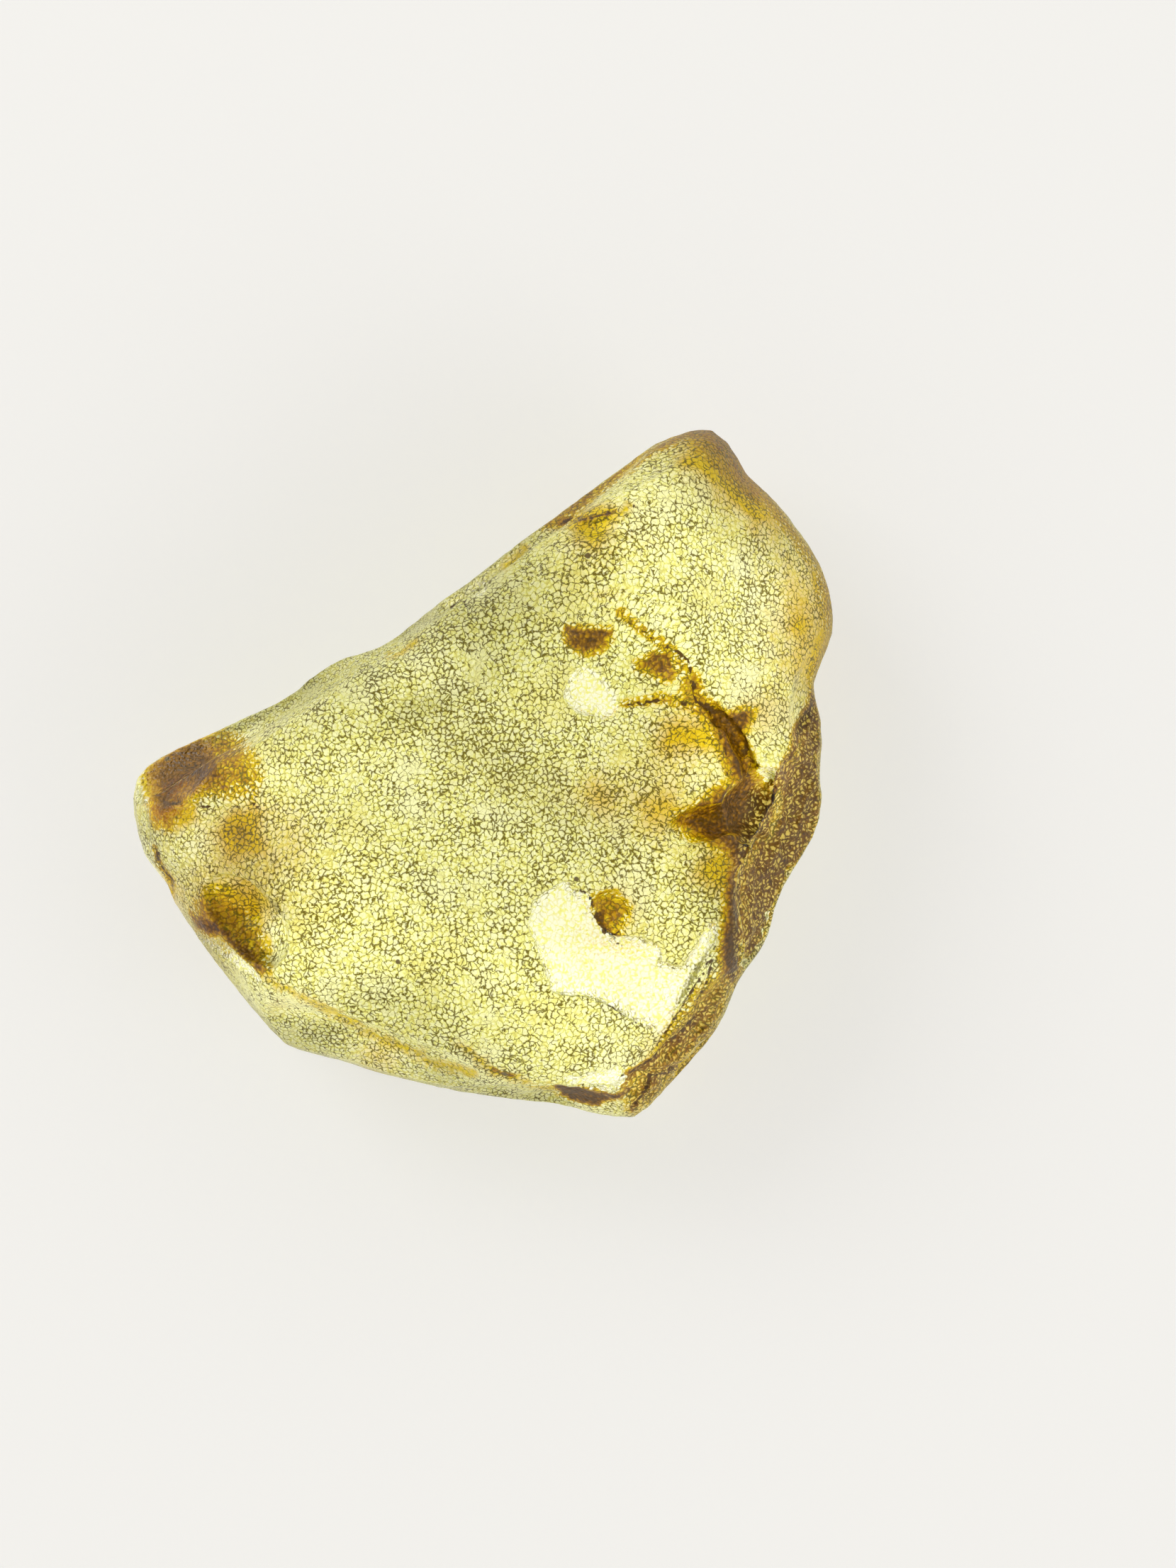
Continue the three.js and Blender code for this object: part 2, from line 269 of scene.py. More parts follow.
# %% The body
VOXEL = 0.29  # mm
RELAX_ROUNDS = 7
RELAX_STEPS = (0.55, -0.57)  # in towards the neighbours' mean, then out again
WELD = 1e-6  # metres


def welded_copy(source, name):
    """A copy of an object with each corner's split points joined."""
    mesh = source.data.copy()
    shape = bmesh.new()
    shape.from_mesh(mesh)
    bmesh.ops.remove_doubles(shape, verts=shape.verts, dist=WELD)
    shape.to_mesh(mesh)
    shape.free()
    mesh.materials.clear()
    copy = bpy.data.objects.new(name, mesh)
    bpy.context.scene.collection.objects.link(copy)
    return copy


def remeshed(obj, voxel):
    """Replaces an object's mesh with an even net of squares."""
    remesh = obj.modifiers.new("even_net", "REMESH")
    remesh.mode = "VOXEL"
    remesh.voxel_size = voxel
    ready = bpy.context.evaluated_depsgraph_get()
    mesh = bpy.data.meshes.new_from_object(obj.evaluated_get(ready), depsgraph=ready)
    obj.modifiers.clear()
    obj.data = mesh
    return obj


def neighbour_mean(values, edges):
    """The mean of each point's neighbours, for one column or several."""
    count = len(values)
    ends = np.concatenate([edges, edges[:, ::-1]])
    degree = np.bincount(ends[:, 0], minlength=count)
    columns = values.reshape(count, -1).T
    sums = [np.bincount(ends[:, 0], column[ends[:, 1]], count) for column in columns]
    return (np.array(sums) / degree).T.reshape(values.shape)


def relaxed(points, edges, rounds):
    """Points smoothed without shrinking the shape."""
    for _ in range(rounds):
        for step in RELAX_STEPS:
            points = points + step * (neighbour_mean(points, edges) - points)
    return points


resin = remeshed(welded_copy(solid, "copal_resin"), VOXEL * MM)
edges = edges_of(resin.data)
points = relaxed(points_of(resin.data), edges, RELAX_ROUNDS)
move_points(resin.data, points)
print("body:", len(points), "points,", len(resin.data.polygons), "faces")

# %% [markdown]
# ## The bright spot under the lump
# Resin swallows part of the light, so the table is made brighter under the lump, and brightest in
# a ring, because the lump's slopes throw some of the light aside. The spot has the lump's own
# outline and fades to the bench's brightness at its edge, so from above the lump hides all of it.
# It only gives off light: its paint is black, so no light bounces to and fro under the lump.

# %% The bright spot under the lump
SPOT_TINT = (0, 0, 0)
SPOT_GLOSS = 0.0
SPOT_GLOW = 1.32
RING_GLOW = 1.92
EDGE_GLOW = 0.83  # as bright as the bench round it, with the room's light on it
RING = (0.35, 0.86)  # the share of the way out over which the glow rises to the ring's
SPOT_SHARE = 0.985  # of the way from the spot's middle to the lump's outline
SPOT_MIDDLE = (3.0, -2.2)  # mm
SPOT_RINGS = 16
SPOT_SIDES = 144
SPOT_FADE = (0.80, 1.0)  # the share of the way out over which the glow falls to the edge's


def ease(value, start, end):
    """0 before start, 1 after end, and a smooth step between."""
    share = np.clip((value - start) / (end - start), 0, 1)
    return share * share * (3 - 2 * share)


from_middle = points[:, :2] - SPOT_MIDDLE
bearing = np.arctan2(from_middle[:, 1], from_middle[:, 0])
reach = np.hypot(*from_middle.T)
slice_of = ((bearing + np.pi) / (2 * np.pi) * SPOT_SIDES).astype(int) % SPOT_SIDES
outline_reach = np.array([reach[slice_of == i].max() for i in range(SPOT_SIDES)]) * SPOT_SHARE
turns = (np.arange(SPOT_SIDES) + 0.5) / SPOT_SIDES * 2 * np.pi - np.pi
spot_edge = SPOT_MIDDLE + outline_reach[:, None] * round_shape(turns)
spot = flat_disc(
    "bench_spot", np.array(SPOT_MIDDLE) * MM, spot_edge * MM, -BENCH_DROP / 2 * MM, SPOT_RINGS
)
shares = np.concatenate([[0], np.repeat(np.arange(1, SPOT_RINGS + 1) / SPOT_RINGS, SPOT_SIDES)])
glow = SPOT_GLOW + (RING_GLOW - SPOT_GLOW) * ease(shares, *RING)
glow += (EDGE_GLOW - glow) * ease(shares, *SPOT_FADE)
layer = spot.data.attributes.new("glow", "FLOAT", "POINT")
layer.data.foreach_set("value", glow.astype(np.float32))
spot_paint, spot_shader = glowing_paint("bench_spot_paint", SPOT_TINT, SPOT_GLOSS, SPOT_GLOW)
stored = spot_paint.node_tree.nodes.new("ShaderNodeAttribute")
stored.attribute_name = "glow"
spot_paint.node_tree.links.new(stored.outputs["Fac"], spot_shader.inputs["Emission Strength"])
spot.data.materials.append(spot_paint)
print("spot reaches", np.round([outline_reach.min(), outline_reach.max()], 1), "mm")

# %% [markdown]
# ## Measuring on the body
# Everything that follows is laid out on the broad face as a map in millimetres: paths for cracks
# and lips, outlines for lost flakes. Three measures turn such a map into a number at each point:
# the distance to a path, which side of the path a point is on, and the distance to an outline,
# negative inside it. The map covers the broad face alone, so a point that doesn't face up is given
# a distance that is far from everything.

# %% Measuring on the body
FAR = 9.0  # mm, away from every mark on the map
UPWARD = (0.0, 0.35)  # the upright part of a normal, from facing aside to facing up
ON_FACE = 0.3  # facing up by at least this share


def path_distance(spots, path):
    """For rows of x, y: distance to a path, the side (+1 left of its run) and the share along it."""
    best = np.full(len(spots), np.inf)
    side = np.ones(len(spots))
    share = np.zeros(len(spots))
    path = np.array(path, dtype=float)
    for i, (start, end) in enumerate(zip(path[:-1], path[1:])):
        run = end - start
        along = np.clip((spots - start) @ run / (run @ run), 0, 1)
        offset = spots - (start + along[:, None] * run)
        away = np.hypot(offset[:, 0], offset[:, 1])
        cross = run[0] * (spots[:, 1] - start[1]) - run[1] * (spots[:, 0] - start[0])
        nearer = away < best
        best = np.where(nearer, away, best)
        side = np.where(nearer, np.where(cross >= 0, 1, -1), side)
        share = np.where(nearer, (i + along) / (len(path) - 1), share)
    return best, side, share


def outline_distance(spots, outline):
    """For rows of x, y: distance to a closed outline, negative inside it."""
    closed = np.array([*outline, outline[0]], dtype=float)
    away, _, _ = path_distance(spots, closed)
    inside = np.zeros(len(spots), dtype=bool)
    for (x0, y0), (x1, y1) in zip(closed[:-1], closed[1:]):
        spans = (y0 > spots[:, 1]) != (y1 > spots[:, 1])
        rise = np.where(spans, (spots[:, 1] - y0) / (y1 - y0 if y1 != y0 else 1), 0)
        inside ^= spans & (spots[:, 0] < x0 + rise * (x1 - x0))
    return np.where(inside, -away, away)


def noise_field(spots, grain, seed, octaves=2):
    """Smooth noise from about -1 to 1 at each row of x, y, z, with lumps as large as grain."""
    shift = Vector((seed * 7.3, seed * 3.1, seed * 5.7))  # far enough that no two seeds look alike
    return np.array([noise.fractal(Vector(spot) / grain + shift, 1.0, 2.0, octaves) for spot in spots])


def on_face(distances):
    """Distances on the map, and far away where the body doesn't face up."""
    return np.where(faces_up > ON_FACE, distances, FAR)


def outlines_distance(outlines):
    """The distance of each point from the nearest of several outlines."""
    return np.min([outline_distance(seen, outline) for outline in outlines.values()], axis=0)


seen = points[:, :2]
faces_up = ease(normals_of(resin.data)[:, 2], *UPWARD)
print("points that face up:", int((faces_up > 0.5).sum()))

# %% [markdown]
# ## Lost flakes of skin and painted glints
# Where a flake of the dry skin has popped off, the bed is a fraction of a millimetre lower and
# perfectly clear. A flake could be cut out of the mesh with a thin solid, but its ragged edge would
# take thousands of small faces. So each is an outline on the broad face, which noise then wears.
# Three of the outlines are painted highlights laid as clear beds: the lit lower edge of the left
# lip, a glint dot at the left tip and white glints on a step.

# %% Lost flakes of skin and painted glints
FLAKE_WANDER = 0.22  # mm that noise moves a flake's edge
FLAKES_AND_GLINTS = {
    "small_window": [
        (7.0, 7.3), (7.6, 8.1), (8.8, 7.9), (9.6, 7.2), (10.3, 6.0), (10.4, 4.9), (9.5, 4.2),
        (8.8, 4.8), (7.5, 4.9), (6.6, 6.0),
    ],
    "large_window": [
        (6.6, -8.2), (7.1, -8.9), (8.2, -9.5), (8.9, -10.6), (9.3, -11.6), (9.9, -12.6),
        (12.1, -12.6), (13.6, -13.3), (13.7, -14.5), (15.6, -15.0), (16.7, -13.6), (17.6, -11.6),
        (18.2, -11.5), (18.1, -12.8), (17.0, -14.5), (15.7, -16.7), (14.6, -19.4), (14.1, -20.7),
        (13.6, -19.7), (12.1, -18.9), (10.8, -18.0), (9.0, -17.0), (7.5, -16.7), (5.7, -16.5),
        (5.3, -15.1), (4.6, -13.5), (3.9, -11.6), (4.2, -9.8), (5.5, -8.8),
    ],
    "lip_plate": [
        (6.5, -23.5), (8.3, -23.1), (10.6, -22.6), (11.3, -23.2), (11.3, -23.8), (10.6, -24.4),
        (9.3, -24.6), (7.5, -24.1),
    ],
    "right_rim": [
        (20.7, -14.8), (21.9, -14.1), (22.4, -12.7), (22.7, -11.0), (23.4, -9.5), (23.8, -9.6),
        (23.4, -11.6), (23.1, -13.3), (22.3, -14.8), (21.1, -15.4),
    ],
    "lower_rim": [
        (15.1, -23.7), (16.4, -21.8), (18.1, -20.6), (18.5, -20.8), (17.1, -22.3), (15.8, -23.9),
    ],
    # painted highlight: white glints on a step, laid as a clear bed
    "step_glint": [(21.4, 0.3), (22.2, 0.5), (23.0, 0.3), (22.9, -0.4), (21.9, -0.6)],
    # painted highlight: the lit lower edge of the left lip
    "left_lip": [
        (-22.9, -12.7), (-21.8, -13.0), (-20.4, -12.9), (-19.4, -13.7), (-17.9, -14.8),
        (-16.8, -15.9), (-17.1, -16.2), (-18.5, -15.2), (-19.7, -14.4), (-21.0, -13.5),
    ],
    # painted highlight: a glint dot at the left tip
    "tip_glint": [(-26.4, -1.6), (-26.1, -1.6), (-26.1, -2.0), (-26.4, -2.0)],
    "upper_patch": [(-0.8, 15.0), (0.1, 15.1), (0.5, 14.4), (0.1, 13.8), (-0.8, 14.1)],
}
# distances to the flakes and to the painted highlights alike
window_mm = outlines_distance(FLAKES_AND_GLINTS) + FLAKE_WANDER * noise_field(points, grain=1.1, seed=1)
window_mm = on_face(window_mm)
print("points in windows:", int((window_mm < 0).sum()))

# %% [markdown]
# ## Painted shade along lips
# Under every lip and in every hollow little light comes through the lump, so brown is painted
# there as painted shade. A lip's painted shade is darkest right at the edge and fades away from
# it to one side more than to the other, so it is a path with one reach to the left of its run and
# one to the right.

# %% Painted shade along lips
LIP_CORE = 0.15  # of a lip's reach, within which its painted shade is at its darkest
LIP_WEAR = 0.5  # of a lip's reach, by which wear lengthens or shortens it
LIPS = {
    # name: (path, reach left, reach right, darkness)
    "upper_spot_rim": ([(6.8, 11.1), (7.9, 10.8), (9.8, 11.0)], 0.15, 0.5, 0.95),
    "middle_spot_rim": ([(13.2, 8.9), (14.4, 9.1), (14.5, 8.3)], 0.4, 0.4, 0.90),
    "top_lip": ([(6.0, 19.8), (6.9, 20.0), (8.1, 19.7), (9.3, 19.9), (10.2, 20.2)], 0.5, 0.5, 0.62),
    "fissure_top": ([(10.8, 12.3), (12.5, 11.0), (14.5, 9.7), (16.4, 7.2)], 0.6, 0.6, 0.34),
    "fissure_middle": ([(16.4, 7.2), (16.6, 5.8), (17.7, 5.1), (18.3, 4.1)], 0.8, 1.3, 0.45),
    "branch": ([(11.1, 5.4), (13.9, 5.9), (16.6, 5.2)], 0.5, 0.5, 0.30),
    "tip_side": ([(14.0, 25.9), (15.2, 26.6), (17.2, 27.4)], 0.9, 0.9, 0.62),
    "tip": ([(17.6, 27.4), (19.5, 24.9), (21.4, 22.8)], 1.0, 2.4, 0.48),
    "pit_core": ([(9.3, -10.8), (9.4, -11.8), (10.2, -12.6)], 0.9, 0.5, 1.0),
    "notch": ([(11.6, -23.0), (12.1, -23.6)], 0.5, 0.5, 0.85),
    "step_high": ([(11.2, -23.3), (13.5, -22.1), (16.1, -19.8), (17.2, -18.6)], 0.4, 1.2, 0.78),
    "step_low": ([(11.7, -26.2), (13.5, -23.9), (16.1, -22.7)], 0.3, 0.7, 0.72),
    "crease_mark": ([(1.0, -22.9), (1.7, -23.1), (2.4, -23.3)], 0.35, 0.35, 0.75),
    "shoulder_edge": ([(20.9, 23.2), (26.9, 16.6), (27.9, 11.6), (26.4, 7.2)], 0.3, 1.2, 0.26),
    "left_edge": ([(-25.6, -5.8), (-25.3, -7.0), (-24.4, -8.5), (-24.7, -9.5)], 0.5, 0.5, 0.45),
    "upper_left_edge": ([(14.0, 26.2), (10.2, 23.6), (5.2, 20.0)], 1.2, 0.6, 0.42),
}
worn = noise_field(points, grain=2.2, seed=2, octaves=3)
# painted shade: brown under lips and in hollows, where little light comes through the lump
painted_shade = np.zeros(len(points))
for path, left, right, dark in LIPS.values():
    away, side, _ = path_distance(seen, path)
    reach = np.where(side > 0, left, right) * (1 + LIP_WEAR * worn)
    painted_shade = np.maximum(painted_shade, dark * (1 - ease(away, LIP_CORE * reach, reach)))
print("points stained along lips:", int((painted_shade > 0.3).sum()))

# %% [markdown]
# ## Painted shade in hollows
# A hollow's painted shade fills an outline. It fades over a band that starts some way inside the
# outline and ends some way outside it: a narrow band for a hollow with a broken rim, a wide one
# where the shade spreads far. Where two meet, the darker one holds.

# %% Painted shade in hollows
HOLLOW_WEAR = 0.4  # mm by which wear moves a hollow's edge
PAINTED_SHADE_HEIGHTS = (6.0, 11.0)  # mm above the bench, from the sides without painted shade to where it is whole
HOLLOWS = {
    # name: (outline, fade inside, fade outside, darkness)
    "upper_spot": (
        [(6.6, 11.3), (7.9, 11.0), (9.9, 11.2), (10.2, 10.4), (9.0, 9.6), (7.9, 9.1), (6.9, 9.6),
         (6.5, 10.2)],
        0.8, 0.6, 0.92,
    ),
    "middle_spot": (
        [(11.8, 8.7), (13.2, 9.1), (14.4, 9.2), (14.5, 8.3), (15.1, 7.6), (14.4, 7.2), (13.0, 7.9),
         (12.1, 8.1)],
        0.8, 0.6, 0.80,
    ),
    "butterfly": (
        [(14.9, -3.6), (16.7, -2.3), (18.6, -1.0), (19.7, -0.3), (20.9, 0.3), (21.9, -0.9),
         (22.9, -1.9), (23.3, -3.5), (22.8, -5.0), (21.6, -5.9), (20.8, -6.8), (20.5, -8.0),
         (19.4, -8.2), (19.5, -6.8), (18.6, -5.7), (17.2, -5.0), (15.7, -4.3)],
        1.2, 0.9, 1.0,
    ),
    "fissure_wedge": (
        [(17.5, 5.1), (19.2, 4.7), (20.9, 4.8), (20.2, 3.0), (21.0, 0.1), (20.4, -0.8), (19.3, -0.7),
         (18.9, 0.4), (18.5, 2.6)],
        0.7, 0.6, 0.96,
    ),
    "band": (
        [(19.4, -7.2), (20.6, -7.0), (20.4, -11.0), (20.2, -13.8), (20.6, -16.5), (19.9, -17.2),
         (18.6, -14.5), (18.9, -11.0)],
        0.7, 0.8, 1.05,
    ),
    "right_strip": (
        [(26.2, 6.5), (26.5, 5.5), (25.8, 4.2), (25.1, 2.9), (24.2, 1.1), (23.1, -0.5),
         (22.0, -1.0), (23.3, 0.7), (24.4, 2.6), (25.3, 4.9)],
        0.4, 0.6, 1.05,
    ),
    "right_side": (
        [(26.2, 6.0), (26.8, 4.6), (27.6, 1.8), (27.2, -1.5), (26.1, -5.4), (24.1, -8.2),
         (23.0, -11.6), (21.3, -14.4), (20.4, -13.8), (20.6, -7.7), (22.9, -4.9), (23.4, -2.1),
         (23.2, -0.4), (24.6, 1.8)],
        0.6, 0.7, 0.76,
    ),
    "low_right": (
        [(20.7, -16.6), (19.5, -18.3), (18.3, -20.7), (16.4, -22.3), (15.0, -23.9), (13.6, -26.2),
         (12.2, -26.8), (11.8, -25.6), (12.5, -23.9), (13.9, -22.2), (14.8, -21.0), (17.0, -17.2),
         (18.9, -15.4), (19.8, -16.9)],
        0.9, 1.4, 0.50,
    ),
    "left_pit": (
        [(-22.2, -9.9), (-21.4, -9.1), (-19.8, -9.2), (-18.4, -10.2), (-17.2, -11.6), (-16.3, -13.6),
         (-16.2, -14.5), (-17.0, -15.3), (-18.8, -13.8), (-20.4, -12.4), (-22.4, -12.2)],
        2.0, 0.9, 0.66,
    ),
    "left_pit_floor": (
        [(-22.6, -10.9), (-22.4, -12.2), (-20.9, -12.5), (-20.1, -12.3), (-18.7, -13.7), (-17.2, -15.1),
         (-16.4, -15.0), (-17.2, -13.8), (-18.7, -12.7), (-20.1, -11.6), (-21.3, -11.3)],
        0.5, 0.5, 0.90,
    ),
    "amber_pit": (
        [(8.5, -9.2), (10.2, -8.9), (11.7, -10.2), (11.1, -11.3), (10.4, -12.5), (9.3, -12.2),
         (9.0, -10.6)],
        0.9, 0.7, 0.50,
    ),
    "left_tip": (
        [(-26.2, 1.4), (-24.8, 2.6), (-22.3, 3.6), (-20.6, 2.6), (-19.6, 1.0), (-18.2, -0.2),
         (-18.6, -1.3), (-21.1, -1.6), (-22.4, -1.9), (-23.2, -3.2), (-24.3, -4.1), (-25.4, -3.9),
         (-26.0, -2.6), (-26.2, -1.9), (-26.6, -1.0), (-26.7, 0.2)],
        2.2, 0.9, 0.96,
    ),
    "left_tip_fade": (
        [(-22.3, 3.6), (-19.8, 3.6), (-17.6, 1.8), (-16.8, -0.2), (-18.0, -1.6), (-20.6, -1.4),
         (-22.6, -1.8), (-23.2, 0.4)],
        1.6, 1.0, 0.50,
    ),
    # painted shadow: the dark crescent under the ledge of the lip plate
    "crescent_shadow": (
        [(5.9, -24.4), (7.5, -24.4), (8.3, -24.8), (10.3, -24.8), (11.5, -24.2), (12.0, -24.5),
         (10.8, -25.5), (9.0, -25.9), (7.6, -25.8), (6.1, -25.2)],
        0.3, 0.3, 1.10,
    ),
}
for outline, inner, outer, dark in HOLLOWS.values():
    away = outline_distance(seen, outline) + HOLLOW_WEAR * worn
    painted_shade = np.maximum(painted_shade, dark * (1 - ease(away, -inner, outer)))
painted_shade = painted_shade * faces_up * ease(points[:, 2], *PAINTED_SHADE_HEIGHTS)
print("stained points in all:", int((painted_shade > 0.3).sum()))

# %% [markdown]
# ## Cracks and creases
# One open fissure runs from the upper right down into the brown hollow, with a short branch, and
# lesser cracks run along the windows, steps and lips. Along the lower edge the skin is folded into
# fine creases full of deep yellow. One could cut such lines into the mesh, but its net would have
# to be far finer, so each is kept as the distance to its path, and the path wobbles by noise.

# %% Cracks and creases
PATH_WOBBLE = 0.3  # mm
FISSURES = {
    # name: (path, half width at its start, half width at its end)
    "main": (
        [(10.8, 12.3), (11.7, 11.6), (12.5, 11.0), (13.7, 10.4), (14.5, 9.7), (15.8, 8.3),
         (16.4, 7.2), (16.6, 5.8), (17.7, 5.1)],
        0.03, 0.10,
    ),
    "main_end": (
        [(17.7, 5.1), (18.6, 4.4), (19.8, 3.4), (20.2, 2.3), (20.6, 1.1), (20.9, -0.1)], 0.12, 0.03,
    ),
    "spur": ([(19.2, 4.2), (20.1, 4.5), (20.9, 4.7)], 0.07, 0.02),
    "branch": ([(11.1, 5.4), (12.5, 5.5), (13.9, 5.9), (14.6, 6.0), (15.8, 5.4), (16.6, 5.2)], 0.07, 0.04),
    "side": ([(17.9, 4.8), (18.5, 2.9), (18.9, 1.4), (19.1, 0.1)], 0.08, 0.04),
    "window_top": ([(6.6, -8.6), (7.3, -9.1), (8.3, -9.5), (8.9, -10.5), (9.3, -11.5)], 0.02, 0.08),
    "window_low": (
        [(3.7, -16.6), (5.7, -16.5), (7.5, -16.7), (9.0, -17.1), (10.8, -18.1), (12.2, -19.1)],
        0.0, 0.03,
    ),
    "pit": ([(9.4, -11.6), (10.0, -12.6), (10.9, -13.2)], 0.14, 0.02),
    "pit_up": ([(9.4, -11.7), (9.0, -10.9), (8.8, -10.0)], 0.12, 0.01),
    "pit_across": ([(9.5, -11.9), (10.6, -12.0)], 0.10, 0.01),
    "ledge": ([(18.1, -13.2), (17.2, -15.4), (16.1, -17.2), (14.9, -19.2), (13.8, -21.1)], 0.02, 0.05),
    "step_high": (LIPS["step_high"][0], 0.03, 0.06),
    "step_low": (LIPS["step_low"][0], 0.05, 0.02),
    "ledge_inner": ([(18.3, -13.6), (17.4, -16.3), (16.8, -17.8)], 0.04, 0.01),
    "arc": ([(-2.6, 13.3), (-1.6, 13.6), (-0.9, 12.9)], 0.08, 0.05),
    "top_lip": (LIPS["top_lip"][0], 0.07, 0.08),
    "top_crack": ([(11.5, 21.1), (11.8, 20.2)], 0.05, 0.02),
    "tip": ([(-23.9, -2.1), (-22.2, -2.4), (-20.2, -2.3), (-18.0, -2.3), (-16.2, -2.6)], 0.06, 0.03),
    "left_edge": (LIPS["left_edge"][0], 0.06, 0.06),
}
CREASES = {
    "lower": [
        (-16.5, -15.6), (-14.1, -17.1), (-11.3, -18.5), (-9.8, -19.4), (-8.3, -20.3), (-6.2, -21.2),
        (-4.5, -22.1), (-2.4, -22.7), (-0.6, -23.2),
    ],
    "inner": [(-1.7, -20.7), (-0.4, -21.7), (1.1, -23.0), (2.9, -23.6), (4.7, -24.4), (6.2, -24.8)],
    "upper": [(-7.3, 9.3), (-6.2, 9.6), (-5.0, 10.3)],
    "upper_patch": [(1.9, 16.4), (2.7, 17.1), (3.2, 17.7)],
    "top_lip": [(5.4, 19.4), (6.6, 19.4), (8.1, 19.1), (9.3, 19.3), (10.3, 19.7), (11.4, 20.6)],
}
wobbly = seen + PATH_WOBBLE * noise_field(points, grain=1.0, seed=7, octaves=3)[:, None]
fissure_mm = np.full(len(points), FAR)
for path, start, end in FISSURES.values():
    away, _, share = path_distance(wobbly, path)
    fissure_mm = np.minimum(fissure_mm, away - (start + share * (end - start)))
fissure_mm = on_face(fissure_mm)
crease_mm = on_face(np.min([path_distance(wobbly, path)[0] for path in CREASES.values()], axis=0))
print("points in fissures:", int((fissure_mm < 0).sum()))

# %% [markdown]
# ## Cloudy places
# A few places are more golden than the rest, as the resin is thicker or cloudier there, and a dull
# band crosses the face. Such places have no edge, so each is a middle and a reach, and its colour
# fades outward like a bell. The band does the same to either side of a path.

# %% Cloudy places
CLOUD_WEAR = 0.35  # of a cloud's reach, by which wear makes it lopsided
CLOUDS = {
    # name: (middle, reach, how golden)
    "shoulder": ((26.4, 14.6), 4.6, 0.26),
    "shoulder_low": ((26.2, 9.0), 3.4, 0.34),
    "tan_spot": ((14.5, 2.5), 1.0, 0.22),
    "shoulder_top": ((21.6, 22.2), 3.0, 0.5),
    "tip": ((18.8, 25.6), 2.8, 0.95),
    "soft_spot": ((-18.5, -4.6), 1.5, 0.8),
    "soft_spot_tail": ((-14.6, -4.4), 2.4, 0.12),
    "yellow_spot": ((9.2, -1.7), 1.6, 0.32),
    "under_butterfly": ((18.4, -7.3), 1.9, 0.55),
    "beside_butterfly": ((13.6, -3.2), 1.6, 0.35),
    "below_fissure": ((15.6, 3.2), 2.2, 0.20),
    "beside_fissure": ((17.4, 3.2), 1.4, 0.20),
    "centre_right": ((15.0, 0.0), 5.0, 0.12),
    "top_lip": ((8.4, 19.2), 1.9, 0.55),
    "right_of_fissure": ((21.8, 4.6), 2.0, 0.22),
    "pit_side": ((10.6, -10.8), 1.6, 0.35),
    "left_lip": ((-18.7, -10.4), 2.4, 0.35),
    "left_face": ((-17.6, -8.2), 5.0, 0.16),
    "tip_lower": ((-23.0, -3.2), 1.0, 0.6),
    "left_bevel": ((-24.6, -9.0), 1.6, 0.3),
    "lower_side": ((-8.0, -21.9), 1.8, 0.25),
    "low_right": ((15.6, -22.4), 3.0, 0.5),
}
golden = np.zeros(len(points))
for middle, reach, depth in CLOUDS.values():
    away = np.hypot(*(seen - middle).T) / reach + CLOUD_WEAR * worn
    golden += depth * np.exp(-away * np.abs(away))

SHADE_PATH = [(-4.5, 5.6), (2.2, 0.8), (5.5, -2.1), (9.4, -4.9), (14.0, -8.4)]
SHADE_REACH = 2.8  # mm to either side
SHADE_MIDDLE = 0.3  # of the way along the path, where the band is darkest
SHADE_FADE = 0.9  # of its depth, lost over the whole length of the path
SHADE_DEPTH = 0.8
SHADE_WEAR = 0.4
away, _, share = path_distance(seen, SHADE_PATH)
shade = np.exp(-((away / SHADE_REACH) ** 2)) * (1 - SHADE_FADE * np.abs(share - SHADE_MIDDLE))
shade *= SHADE_DEPTH + SHADE_WEAR * worn
print("golden points:", int((golden > 0.2).sum()), "shaded points:", int((shade > 0.3).sum()))

# %% [markdown]
# ## Fresh breaks
# The left tip broke off last: its scar is glassy and has no crazing at all. The right side and the
# lower right corner are crazed but rough, broken in small steps. Both are outlines on the map.

# %% Fresh breaks
GLASSY_WEAR = 0.3  # mm that wear moves the edge of a glassy scar
GLASSY = {
    "left_tip": [
        (-28.5, 1.0), (-26.8, -0.6), (-25.8, -2.6), (-25.0, -3.6), (-23.6, -2.2), (-21.8, -1.0), (-21.6, 5.4)
    ],
    "step_glint": FLAKES_AND_GLINTS["step_glint"],
}
ROUGH = {
    "right": [
        (26.3, 6.6), (23.9, 1.2), (21.4, -1.4), (20.0, -7.0), (20.2, -15.2), (23.5, -15.0),
        (28.5, -4.0), (28.5, 6.0),
    ],
    "lower_right": [
        (20.2, -15.2), (17.6, -17.6), (14.4, -21.6), (11.9, -23.6), (11.0, -28.0), (14.5, -28.0),
        (24.0, -15.0),
    ],
}
glassy_mm = on_face(outlines_distance(GLASSY) + GLASSY_WEAR * worn)
rough_mm = outlines_distance(ROUGH)
print("glassy points:", int((glassy_mm < 0).sum()), "rough points:", int((rough_mm < 0).sum()))

# %% [markdown]
# ## Relief
# The points are moved along their normals. The whole skin rolls and dimples a little, the windows
# sink, creases and fissures sink as narrow grooves, and the rough side is cut by sharp ridges that
# come from folding smooth noise at zero. A displacement texture could do the same, but moved points
# are real shape, which shows at the outline too. The moves go inward, to stay within the solid.

# %% Relief
SKIN_ROLL = 0.16  # mm, as are all the depths
SKIN_DIMPLES = 0.10
WINDOW_DEPTH = 0.22
CREASE_DEPTH = 0.12
FISSURE_DEPTH = 0.22
ROUGH_RIDGES = 0.9
WINDOW_BANK = (-0.2, 0.2)  # mm from the edge of a mark, from its full depth to none, as below
CREASE_BANK = (0.05, 0.5)
FISSURE_BANK = (-0.1, 0.35)
ROUGH_BANK = (-0.3, 0.7)


def rolling(depth, grain, seed):
    """A depth that noise carries from about none to the whole."""
    return depth * (1 - noise_field(points, grain, seed)) / 2


def inside(distance, bank):
    """1 inside a mark and 0 outside, with a smooth bank between."""
    return 1 - ease(distance, *bank)


